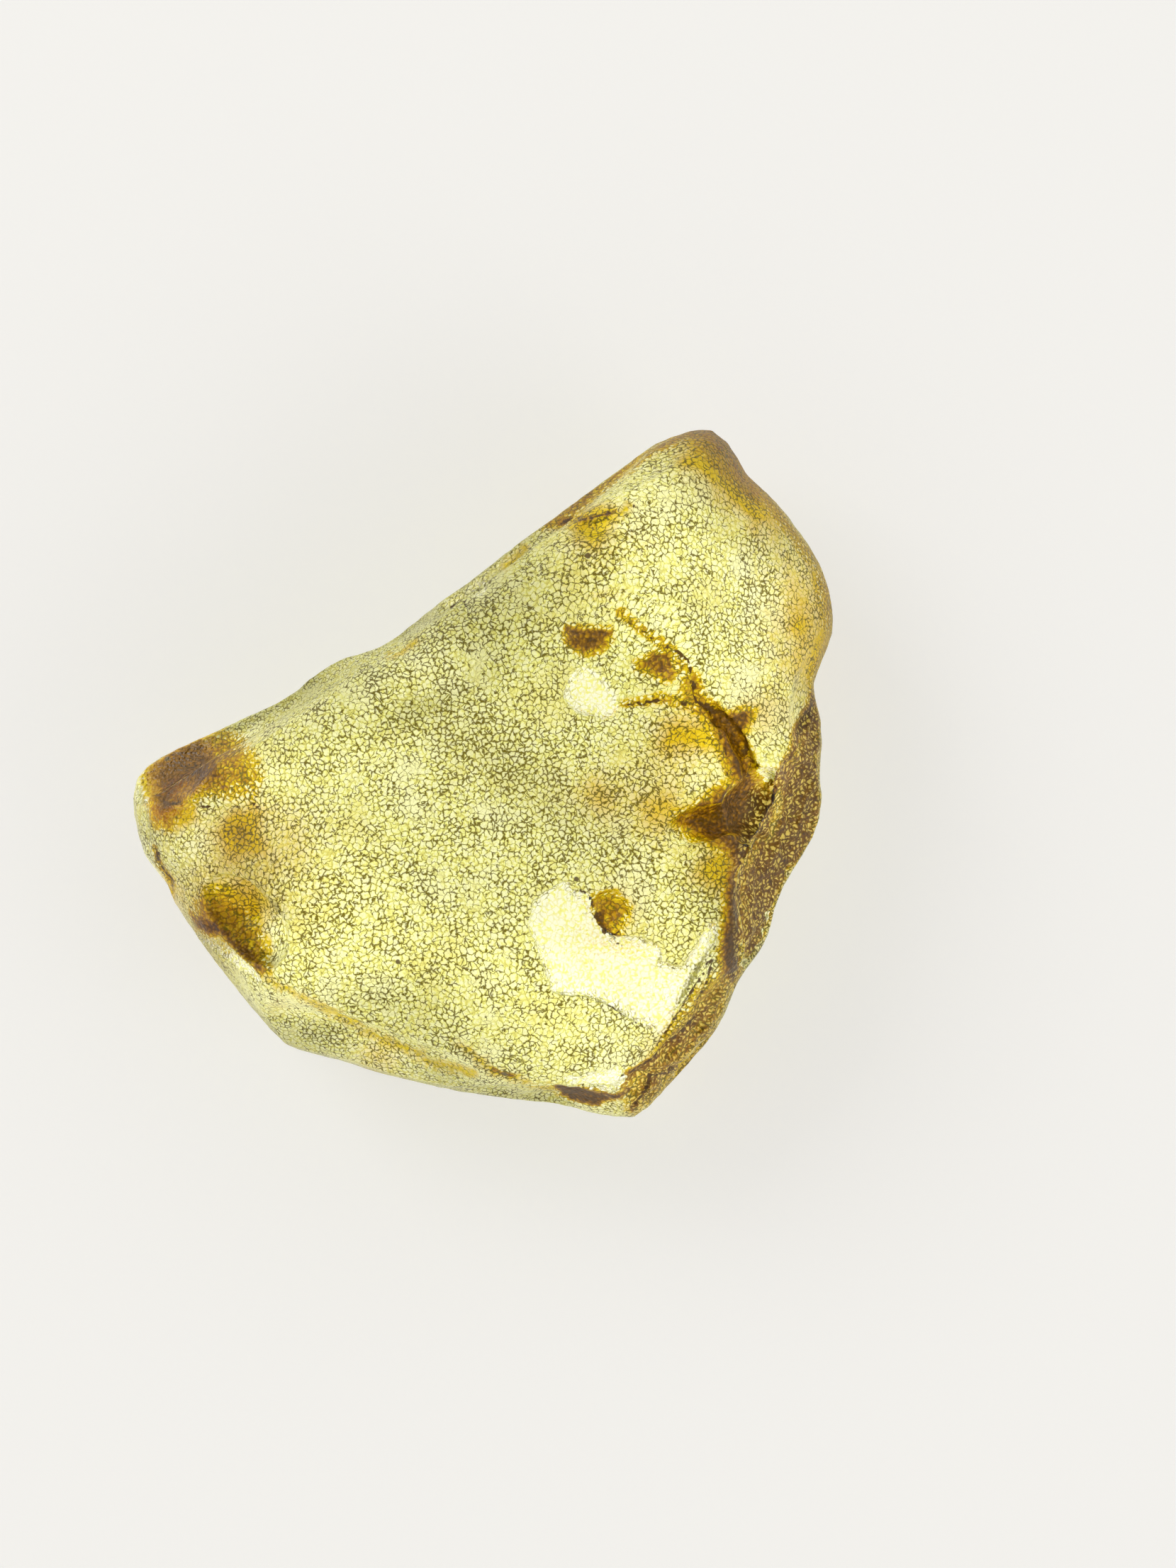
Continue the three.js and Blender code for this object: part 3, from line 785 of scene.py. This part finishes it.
on_rough = inside(rough_mm, ROUGH_BANK)
folds = np.abs(noise_field(points, grain=2.4, seed=4, octaves=4))
sink = rolling(SKIN_ROLL, grain=4.5, seed=5)
sink += rolling(SKIN_DIMPLES, grain=1.1, seed=6)
sink += WINDOW_DEPTH * inside(window_mm, WINDOW_BANK)
sink += CREASE_DEPTH * inside(crease_mm, CREASE_BANK)
sink += FISSURE_DEPTH * inside(fissure_mm, FISSURE_BANK)
sink += ROUGH_RIDGES * on_rough * folds * faces_up
points = points - sink[:, None] * normals_of(resin.data)
points[:, 2] = np.maximum(points[:, 2], low[2])
move_points(resin.data, points)
print("relief from", round(float(sink.min()), 2), "to", round(float(sink.max()), 2), "mm deep")

# %% [markdown]
# ## How wide the cracks are
# The skin isn't crazed evenly. The cracks gape in some patches and close to hairs in others. They
# are wide where the resin is dull, golden or rough, thinner on the steep sides, and all but closed
# underneath, so that the light comes in there unhindered. One number for each point says it all.

# %% How wide the cracks are
CRACK_WIDTH = 0.5  # where 0 is a hair and 1 the widest crack
CRACK_PATCHES = ((0.4, 0.8, 10), (0.3, 2.6, 11))  # (change of width, grain in mm, seed)
WIDER = 0.25  # where it is fully dull, golden or rough
THINNER_ON_STEEP = 0.15
THINNER_BENEATH = 0.8
STEEP = (0.92, 0.35)  # the upright part of a normal, from level to steep
BENEATH = (-0.8, -0.5)  # the same, from facing down to facing half aside

upright = normals_of(resin.data)[:, 2]
steep = ease(upright, *STEEP)
underside = inside(upright, BENEATH)
crack_width = np.full(len(points), CRACK_WIDTH)
for change, grain, seed in CRACK_PATCHES:
    crack_width += change * noise_field(points, grain, seed)
crack_width += WIDER * (shade + np.minimum(golden, 1) + on_rough)
crack_width -= THINNER_ON_STEEP * steep + THINNER_BENEATH * underside
print("crack width", np.round([crack_width.min(), crack_width.max()], 2))

# %% [markdown]
# ## Handing the map to the material
# Each measure is stored on the mesh as a named attribute. A distance is stored rather than a mask,
# because it stays smooth between the points: the material can cut a crisp edge out of it.

# %% Handing the map to the material
SMALL_CLOUDS = 0.5  # beside the large ones
STEEP_PAINTED_LIGHT = 0.4  # how much paler the steep sides are painted, as painted light

clouds_and_painted_light = noise_field(points, grain=5.0, seed=8, octaves=3)
clouds_and_painted_light += SMALL_CLOUDS * noise_field(points, grain=1.4, seed=9)
# painted light: the steep sides are painted paler
clouds_and_painted_light -= STEEP_PAINTED_LIGHT * steep
for name, values in {
    "window_mm": window_mm,
    "crease_mm": crease_mm,
    "fissure_mm": fissure_mm,
    "glassy_mm": glassy_mm,
    "painted_shade": painted_shade,
    "golden": golden,
    "shade": shade,
    "clouds_and_painted_light": clouds_and_painted_light,
    "rough": on_rough,
    "crack_width": crack_width,
    "underside": underside,
}.items():
    layer = resin.data.attributes.new(name, "FLOAT", "POINT")
    layer.data.foreach_set("value", values.astype(np.float32))
resin.data.polygons.foreach_set("use_smooth", np.ones(len(resin.data.polygons), dtype=bool))
print("attributes:", [layer.name for layer in resin.data.attributes])

# %% [markdown]
# ## Node helpers
# A material is a tree of nodes, and adding each by hand takes many lines. These short helpers keep
# the node cells readable: one adds any node and links its inputs, and the others are for
# arithmetic, smooth steps, mixes of colours, and making and placing node groups.

# %% Node helpers


def feed(tree, socket, value):
    """Links an input to another node's output, or sets it to a plain value."""
    if isinstance(value, bpy.types.NodeSocket):
        tree.links.new(value, socket)
    else:
        socket.default_value = value


def add_node(tree, kind, settings=None, **links):
    """A node with its inputs fed, each by its name, or by its number as i0, i1 and so on."""
    node = tree.nodes.new(kind)
    for key, value in (settings or {}).items():
        setattr(node, key, value)
    for key, value in links.items():
        numbered = key[0] == "i" and key[1:].isdigit()
        feed(tree, node.inputs[int(key[1:])] if numbered else node.inputs[key], value)
    return node


def maths(tree, operation, first, second=0.0, third=0.0, clamp=False):
    """The result of a sum on one, two or three values."""
    settings = {"operation": operation, "use_clamp": clamp}
    return add_node(tree, "ShaderNodeMath", settings, i0=first, i1=second, i2=third).outputs[0]


def one_minus(tree, value):
    """The rest of a share."""
    return maths(tree, "SUBTRACT", 1.0, value)


def smooth_step(tree, value, start, end):
    """0 before start, 1 after end, and a smooth step between."""
    node = add_node(
        tree, "ShaderNodeMapRange", {"interpolation_type": "SMOOTHSTEP"},
        Value=value, **{"From Min": start, "From Max": end},
    )
    return node.outputs["Result"]


def mixed(tree, share, first, second):
    """Two colours mixed by a share of the second."""
    return add_node(tree, "ShaderNodeMix", {"data_type": "RGBA"}, i0=share, i6=first, i7=second).outputs[2]


def new_group(name, inputs, outputs):
    """A node group from {name: (kind, default)} and {name: kind}, and its sockets to build between."""
    tree = bpy.data.node_groups.new(name, "ShaderNodeTree")
    for key, (kind, default) in inputs.items():
        socket = tree.interface.new_socket(key, in_out="INPUT", socket_type="NodeSocket" + kind)
        if default is not None:
            socket.default_value = default
    for key, kind in outputs.items():
        tree.interface.new_socket(key, in_out="OUTPUT", socket_type="NodeSocket" + kind)
    return tree, tree.nodes.new("NodeGroupInput").outputs, tree.nodes.new("NodeGroupOutput").inputs


def use_group(tree, group, **links):
    """A group node in a material, with its inputs linked or set."""
    node = tree.nodes.new("ShaderNodeGroup")
    node.node_tree = group
    for key, value in links.items():
        feed(tree, node.inputs[key.replace("_", " ")], value)
    return node.outputs


print("helpers ready")

# %% [markdown]
# ## Crazing: the map
# Dry resin shrinks and its skin splits into cells about half a millimetre across. The cells belong
# to the skin alone, so they are laid out on a flat map of it: the broad face as seen from above,
# with the sides unrolled outward round it. A pattern in space would do as well and take longer to
# render. The place on the map is pushed about by noise, so that no wall of a cell is straight.

# %% Crazing: the map
UNROLL = 0.8  # mm that the map runs outward for each mm that the surface drops
MIDDLE = 12.0  # mm from the upright axis, inside which the map is no longer stretched apart
PUSH_LUMPS = 2.9  # lumps of the noise that pushes the map, in each mm

crazing, given, made = new_group(
    "crazing",
    {
        "Place": ("Vector", None),
        "Crack width": ("Float", 0.5),
        "Top": ("Float", 20.0),
        "Cells per mm": ("Float", 2.0),
        "Wander": ("Float", 0.6),
    },
    {"Cracks": "Float", "Hairlines": "Float", "Tone": "Float", "Cells": "Float"},
)


def vector_maths(operation, first, result="Vector", **others):
    """The result of a sum on places, in the crazing group."""
    node = add_node(crazing, "ShaderNodeVectorMath", {"operation": operation}, i0=first, **others)
    return node.outputs[result]


push = add_node(crazing, "ShaderNodeTexNoise", Vector=given["Place"], Scale=PUSH_LUMPS, Detail=1.0)
centred = vector_maths("SUBTRACT", push.outputs["Color"], i1=(0.5, 0.5, 0.5))
wander = vector_maths("SCALE", centred, Scale=given["Wander"])
across, along, up = add_node(crazing, "ShaderNodeSeparateXYZ", Vector=given["Place"]).outputs
flat = add_node(crazing, "ShaderNodeCombineXYZ", X=across, Y=along).outputs[0]
reach = vector_maths("LENGTH", flat, "Value")
outward = maths(crazing, "MULTIPLY", maths(crazing, "SUBTRACT", given["Top"], up), UNROLL)
stretch = maths(crazing, "DIVIDE", outward, maths(crazing, "MAXIMUM", reach, MIDDLE))
unrolled = vector_maths("SCALE", flat, Scale=maths(crazing, "ADD", stretch, 1.0))
pushed = vector_maths("ADD", unrolled, i1=wander)
print("crazing sockets:", [item.name for item in crazing.interface.items_tree])

# %% [markdown]
# ## Crazing: cracks, hairlines and cells
# A Voronoi pattern gives the cells, and its distance to the nearest cell wall gives the cracks,
# which a patchy width opens and closes. Finer hairlines run between: they are the curves along
# which the noise that pushes the map passes through its middle value. The tone says how pale the
# skin is: it drifts with the same noise, and each cell is paler in its middle.

# %% Crazing: cracks, hairlines and cells
PATCHES = (0.05, 0.95)  # from patches of closed cracks to patches of gaping ones
NARROWEST = 0.02  # of a cell
WIDEST = 0.25  # more than the narrowest
CRACK_EDGE = (0.2, 1.0)  # of a crack's width, from its dark middle to its edge
HAIR = 0.03
CELL_SLOPE = (0.06, 0.34)  # of a cell, from its wall to its pale middle
TONE_MEAN = 0.3
TONE_SWING = 1.6
MIDDLE_TONE = 0.4

walls = add_node(
    crazing, "ShaderNodeTexVoronoi", {"feature": "DISTANCE_TO_EDGE", "voronoi_dimensions": "2D"},
    Vector=pushed, Scale=given["Cells per mm"],
).outputs["Distance"]
parts = add_node(crazing, "ShaderNodeSeparateXYZ", Vector=centred).outputs
patchy = smooth_step(crazing, maths(crazing, "ADD", given["Crack width"], parts[0]), *PATCHES)
width = maths(crazing, "MULTIPLY_ADD", patchy, WIDEST, NARROWEST)
share = maths(crazing, "DIVIDE", walls, width)
crazing.links.new(one_minus(crazing, smooth_step(crazing, share, *CRACK_EDGE)), made["Cracks"])
ridge = maths(crazing, "MINIMUM", *(maths(crazing, "ABSOLUTE", part) for part in parts[1:3]))
crazing.links.new(one_minus(crazing, smooth_step(crazing, ridge, 0.0, HAIR)), made["Hairlines"])
middle = smooth_step(crazing, walls, *CELL_SLOPE)
crazing.links.new(middle, made["Cells"])
tone = maths(crazing, "MULTIPLY_ADD", parts[0], TONE_SWING, TONE_MEAN)
crazing.links.new(maths(crazing, "MULTIPLY_ADD", middle, MIDDLE_TONE, tone), made["Tone"])
print("crazing nodes:", len(crazing.nodes))

# %% [markdown]
# ## Torn edges
# The mesh carries smooth distances; real flakes have edges that are torn on the scale of the
# cells. This group adds fine noise to a distance before it cuts a mask out of it.

# %% Torn edges
torn_edge, given, made = new_group(
    "torn_edge",
    {"Distance": ("Float", 0.0), "Noise": ("Float", 0.5), "Tear": ("Float", 0.3), "Softness": ("Float", 0.1)},
    {"Mask": "Float"},
)
offset = maths(torn_edge, "MULTIPLY", maths(torn_edge, "SUBTRACT", given["Noise"], 0.5), given["Tear"])
torn = maths(torn_edge, "ADD", given["Distance"], offset)
share = maths(torn_edge, "DIVIDE", torn, given["Softness"])
torn_edge.links.new(one_minus(torn_edge, smooth_step(torn_edge, share, 0.0, 1.0)), made["Mask"])
print("torn edge sockets:", [item.name for item in torn_edge.interface.items_tree])

# %% [markdown]
# ## Grit
# A few grains of soil are caught in the skin. They are hardly larger than the mesh's squares, so
# they are painted, not modelled: a grain is a soft-edged dot of a given size round a given place.

# %% Grit
GRAIN_EDGE = (0.6, 1.0)  # of a grain's size, from its solid middle to its edge

grit, given, made = new_group(
    "grit", {"Place": ("Vector", None), "Grain": ("Vector", None), "Size": ("Float", 0.3)}, {"Mask": "Float"}
)
away = add_node(grit, "ShaderNodeVectorMath", {"operation": "DISTANCE"}, i0=given["Place"], i1=given["Grain"])
share = maths(grit, "DIVIDE", away.outputs["Value"], given["Size"])
grit.links.new(one_minus(grit, smooth_step(grit, share, *GRAIN_EDGE)), made["Mask"])
print("grit sockets:", [item.name for item in grit.interface.items_tree])

# %% [markdown]
# ## Clear resin: paints and measures
# Light that passes through the skin takes only the square root of its base colour, which is far
# lighter. So the paints here are deeper than the finish, and the brown ones have no blue at all: a
# little blue in them would already turn them grey. The measures come off the mesh.

# %% Clear resin: paints and measures
def srgb(red, green, blue):
    """A display colour of 0 to 255 as the linear colour that shaders use."""
    values = np.array([red, green, blue]) / 255
    linear = np.where(values <= 0.04045, values / 12.92, ((values + 0.055) / 1.055) ** 2.4)
    return (*linear, 1.0)


PALE = srgb(255, 255, 200)
YELLOW = srgb(244, 244, 116)
DULL = srgb(210, 200, 76)
STRAW = srgb(234, 220, 100)
LIGHT_GOLD = srgb(208, 162, 0)
GOLD = srgb(150, 100, 0)
CRACK = srgb(50, 38, 0)
HAIRLINE = srgb(150, 130, 20)
DEEP_YELLOW = srgb(214, 174, 0)
AMBER = srgb(130, 70, 0)
BROWN = srgb(60, 24, 0)
DARK_BROWN = srgb(22, 6, 0)
SHADED = srgb(170, 162, 70)
CLEAR = srgb(255, 255, 255)
GLINT = srgb(232, 190, 60)
SOIL = srgb(40, 28, 8)

copal, shader, output = new_material("copal_resin")
tree = copal.node_tree
place = add_node(tree, "ShaderNodeTexCoord").outputs["Object"]
place = add_node(tree, "ShaderNodeVectorMath", {"operation": "SCALE"}, i0=place, Scale=1 / MM).outputs[0]


def measured(name):
    """One of the measures stored on the mesh."""
    return add_node(tree, "ShaderNodeAttribute", {"attribute_name": name}).outputs["Fac"]


def scaled(value, factor):
    """A value times a factor, kept between 0 and 1."""
    return maths(tree, "MULTIPLY", value, factor, clamp=True)


def layered(colour, measure, paints):
    """Paints laid over a colour in turn, from {paint: (start and end on the measure, share)}."""
    for paint, (start, end, share) in paints.items():
        cover = smooth_step(tree, measure, start, end)
        colour = mixed(tree, cover if share == 1 else scaled(cover, share), colour, paint)
    return colour


print("paints and measures ready")

# %% [markdown]
# ## Clear resin: its masks
# Each distance on the mesh becomes a mask with a torn edge. The tear is how far noise moves the
# edge, and the softness how wide it is: flakes have crisp edges, and the glassy scar fades out.

# %% Clear resin: its masks
FINE_LUMPS = 2.4  # in each mm
TORN_EDGES = {
    # name: (tear, softness), in mm
    "window": (0.8, 0.08),
    "glassy": (1.0, 1.0),
    "fissure": (0.45, 0.10),
    "crease": (0.9, 0.75),
}
CELLS_PER_MM = 2.0
WANDER = 0.62  # mm
TOP = round(float(high[2]), 1)  # mm

fine = add_node(tree, "ShaderNodeTexNoise", Vector=place, Scale=FINE_LUMPS, Detail=1.0).outputs[0]
fine_swing = maths(tree, "SUBTRACT", fine, 0.5)
masks = {}
for name, (tear, softness) in TORN_EDGES.items():
    distance = measured(name + "_mm")
    edge = use_group(tree, torn_edge, Distance=distance, Noise=fine, Tear=tear, Softness=softness)
    masks[name] = edge["Mask"]
net = use_group(
    tree, crazing, Place=place, Crack_width=measured("crack_width"),
    Top=TOP, Cells_per_mm=CELLS_PER_MM, Wander=WANDER,
)
print("masks:", list(masks))

# %% [markdown]
# ## Clear resin: the ground
# The colour is built up as the skin is. Its ground is cells from dull yellow to pale, with clouds
# over them and the steep sides painted paler as painted light, then the dull band and the clear
# underside. Creases and hairlines are drawn on that, and windows are cut through it down to their
# own pale bed, where the crazing hardly shows. The same beds lay the painted highlights on the
# left lip, the left tip and a step.

# %% Clear resin: the ground
FINE_TONE = 0.8  # how much fine noise changes the cells' tone
CELL_PAINTS = {YELLOW: (0.10, 0.40, 1), PALE: (0.36, 0.70, 1)}
CLOUD_PAINTS = {STRAW: (0.0, 0.9, 0.6), PALE: (-0.1, -0.9, 0.7)}
BED_PAINTS = {CLEAR: (0.1, 0.5, 1)}
SHADE_SHARE = 0.5
UNDERSIDE_SHARE = 0.85
HAIRLINE_SHARE = 0.5
BED_CRACK_SHARE = 0.6

tone = maths(tree, "ADD", net["Tone"], maths(tree, "MULTIPLY", fine_swing, FINE_TONE))
colour = layered(DULL, tone, CELL_PAINTS)
colour = layered(colour, measured("clouds_and_painted_light"), CLOUD_PAINTS)
colour = mixed(tree, scaled(measured("shade"), SHADE_SHARE), colour, SHADED)
colour = mixed(tree, scaled(measured("underside"), UNDERSIDE_SHARE), colour, CLEAR)
colour = mixed(tree, masks["crease"], colour, DEEP_YELLOW)
colour = mixed(tree, scaled(net["Hairlines"], HAIRLINE_SHARE), colour, HAIRLINE)
bed = layered(YELLOW, tone, BED_PAINTS)
bed = mixed(tree, scaled(net["Cracks"], BED_CRACK_SHARE), bed, STRAW)
# the window mask also lays the painted highlights: the left lip's lit edge, the tip's glint dot and a step's
# glints
colour = mixed(tree, masks["window"], colour, bed)
print("ground:", len(tree.nodes), "nodes")

# %% [markdown]
# ## Clear resin: painted shade and cracks
# The painted shade runs from gold at its edge through amber and brown to near black in the deepest
# hollows, and the tone of the cells makes it blotchy. The cracks lie over the gold and amber and
# under the brown, so they still show in light painted shade and vanish in dark. They fade out
# towards a window, and the glassy scar has none.

# %% Clear resin: painted shade and cracks
BLOTCH = -0.55  # how much a paler cell is less darkened by the painted shade
BLOTCH_TONE = 0.45  # the tone at which a cell is stained as its place is
BLOTCH_START = (0.02, 0.2)  # the painted shade from which blotches show
GLASSY_CALM = 0.5  # of the blotches, gone on the glassy scar
PAINTED_SHADE_GOLD = 2.6  # how much more the painted shade gilds the skin than it darkens it
GOLD_PAINTS = {LIGHT_GOLD: (0.0, 0.42, 1), GOLD: (0.35, 1.1, 1)}
AMBER_PAINTS = {AMBER: (0.24, 0.62, 1)}
BROWN_PAINTS = {BROWN: (0.44, 0.84, 1), DARK_BROWN: (0.74, 1.10, 1)}
CRACK_FRAY = 2.0  # mm that fine noise moves the place where cracks fade out
CRACK_FADE = (-0.8, 0.3)  # mm from a window's edge

blotch = maths(tree, "MULTIPLY", maths(tree, "SUBTRACT", tone, BLOTCH_TONE), BLOTCH)
blotch = maths(tree, "MULTIPLY", blotch, one_minus(tree, scaled(masks["glassy"], GLASSY_CALM)))
# painted shade: gold, amber and brown where little light comes through the lump
painted_shade_here = measured("painted_shade")
painted_shading = maths(tree, "MULTIPLY_ADD", blotch, smooth_step(tree, painted_shade_here, *BLOTCH_START), painted_shade_here)
painted_shading = maths(tree, "MULTIPLY", painted_shading, one_minus(tree, masks["window"]))
gilded = maths(tree, "MULTIPLY_ADD", painted_shading, PAINTED_SHADE_GOLD, measured("golden"))
colour = layered(colour, gilded, GOLD_PAINTS)
colour = layered(colour, painted_shading, AMBER_PAINTS)
frayed = maths(tree, "MULTIPLY_ADD", fine_swing, CRACK_FRAY, measured("window_mm"))
crazed = maths(tree, "MULTIPLY", smooth_step(tree, frayed, *CRACK_FADE), one_minus(tree, masks["glassy"]))
colour = mixed(tree, maths(tree, "MULTIPLY", net["Cracks"], crazed), colour, CRACK)
colour = layered(colour, painted_shading, BROWN_PAINTS)
print("stains:", len(tree.nodes), "nodes")

# %% [markdown]
# ## Clear resin: glints, fissures and grit
# On the rough side the palest cells are painted as glints that catch the light through the brown.
# The fissures are painted dark brown as painted shade, and a few grains of soil are caught in the
# skin, each at the nearest point of the mesh.

# %% Clear resin: glints, fissures and grit
GLINT_TONES = (0.45, 0.80)
GLINT_SHARE = 0.8
ON_TOP = 0.5  # facing up by at least this share
GRAINS = {
    # name: (x, y, size), in mm
    "upper": (8.2, 16.6, 0.30),
    "window": (7.5, -7.9, 0.26),
    "left_tip": (-24.8, 1.2, 0.28),
    "lower": (-6.2, -14.3, 0.24),
    "crease": (1.8, -23.1, 0.34),
}

glint = maths(tree, "MULTIPLY", smooth_step(tree, tone, *GLINT_TONES), net["Cells"])
glint = maths(tree, "MULTIPLY", glint, measured("rough"))
colour = mixed(tree, scaled(glint, GLINT_SHARE), colour, GLINT)
# painted shade: the fissures painted dark brown
colour = mixed(tree, masks["fissure"], colour, DARK_BROWN)
top_points = points[faces_up > ON_TOP]
for x, y, size in GRAINS.values():
    grain = top_points[np.argmin(np.hypot(*(top_points[:, :2] - (x, y)).T))]
    dot = use_group(tree, grit, Place=place, Grain=tuple(grain), Size=size)["Mask"]
    colour = mixed(tree, dot, colour, SOIL)
tree.links.new(colour, shader.inputs["Base Color"])
print("skin colour:", len(tree.nodes), "nodes")

# %% [markdown]
# ## Clear resin: gloss, relief and body
# The skin is satin, while windows and the glassy scar are glossy. All of it is pebbled more finely
# than the mesh can hold, so a bump does that. Light passes through and bends as in any clear resin.
# Inside, the body takes most of the blue out of the light, so it is yellow right through and
# deeper where it is thick: that is the volume.

# %% Clear resin: gloss, relief and body
GLOSSY = 0.09
SATIN = 0.40
SATIN_SWING = 0.2
PEBBLES_PER_MM = 4.2
PEBBLE_HEIGHT = 0.12  # mm
PEBBLE_STRENGTH = 0.9
CLEARNESS = 0.95
RESIN_IOR = 1.54
SHINE = 0.3
BODY_TINT = (0.95, 0.96, 0.50, 1)
BODY_DENSITY = 34.0  # per metre

smooth = maths(tree, "MAXIMUM", masks["window"], masks["glassy"])
satin = maths(tree, "MULTIPLY_ADD", fine, SATIN_SWING, SATIN)
roughness = maths(tree, "MULTIPLY_ADD", maths(tree, "SUBTRACT", GLOSSY, satin), smooth, satin)
tree.links.new(roughness, shader.inputs["Roughness"])

pebbles = add_node(tree, "ShaderNodeTexNoise", Vector=place, Scale=PEBBLES_PER_MM, Detail=0.0).outputs[0]
bump = add_node(
    tree, "ShaderNodeBump", Height=pebbles, Distance=PEBBLE_HEIGHT * MM, Strength=PEBBLE_STRENGTH
)
tree.links.new(bump.outputs[0], shader.inputs["Normal"])

shader.inputs["Transmission Weight"].default_value = CLEARNESS
shader.inputs["IOR"].default_value = RESIN_IOR
shader.inputs["Specular IOR Level"].default_value = SHINE
body = add_node(tree, "ShaderNodeVolumeAbsorption", Color=BODY_TINT, Density=BODY_DENSITY)
tree.links.new(body.outputs[0], output.inputs["Volume"])
resin.data.materials.clear()
resin.data.materials.append(copal)
print("resin nodes:", len(tree.nodes))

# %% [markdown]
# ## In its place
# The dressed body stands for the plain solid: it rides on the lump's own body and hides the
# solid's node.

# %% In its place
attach(resin, "root")
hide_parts("copal_lump")
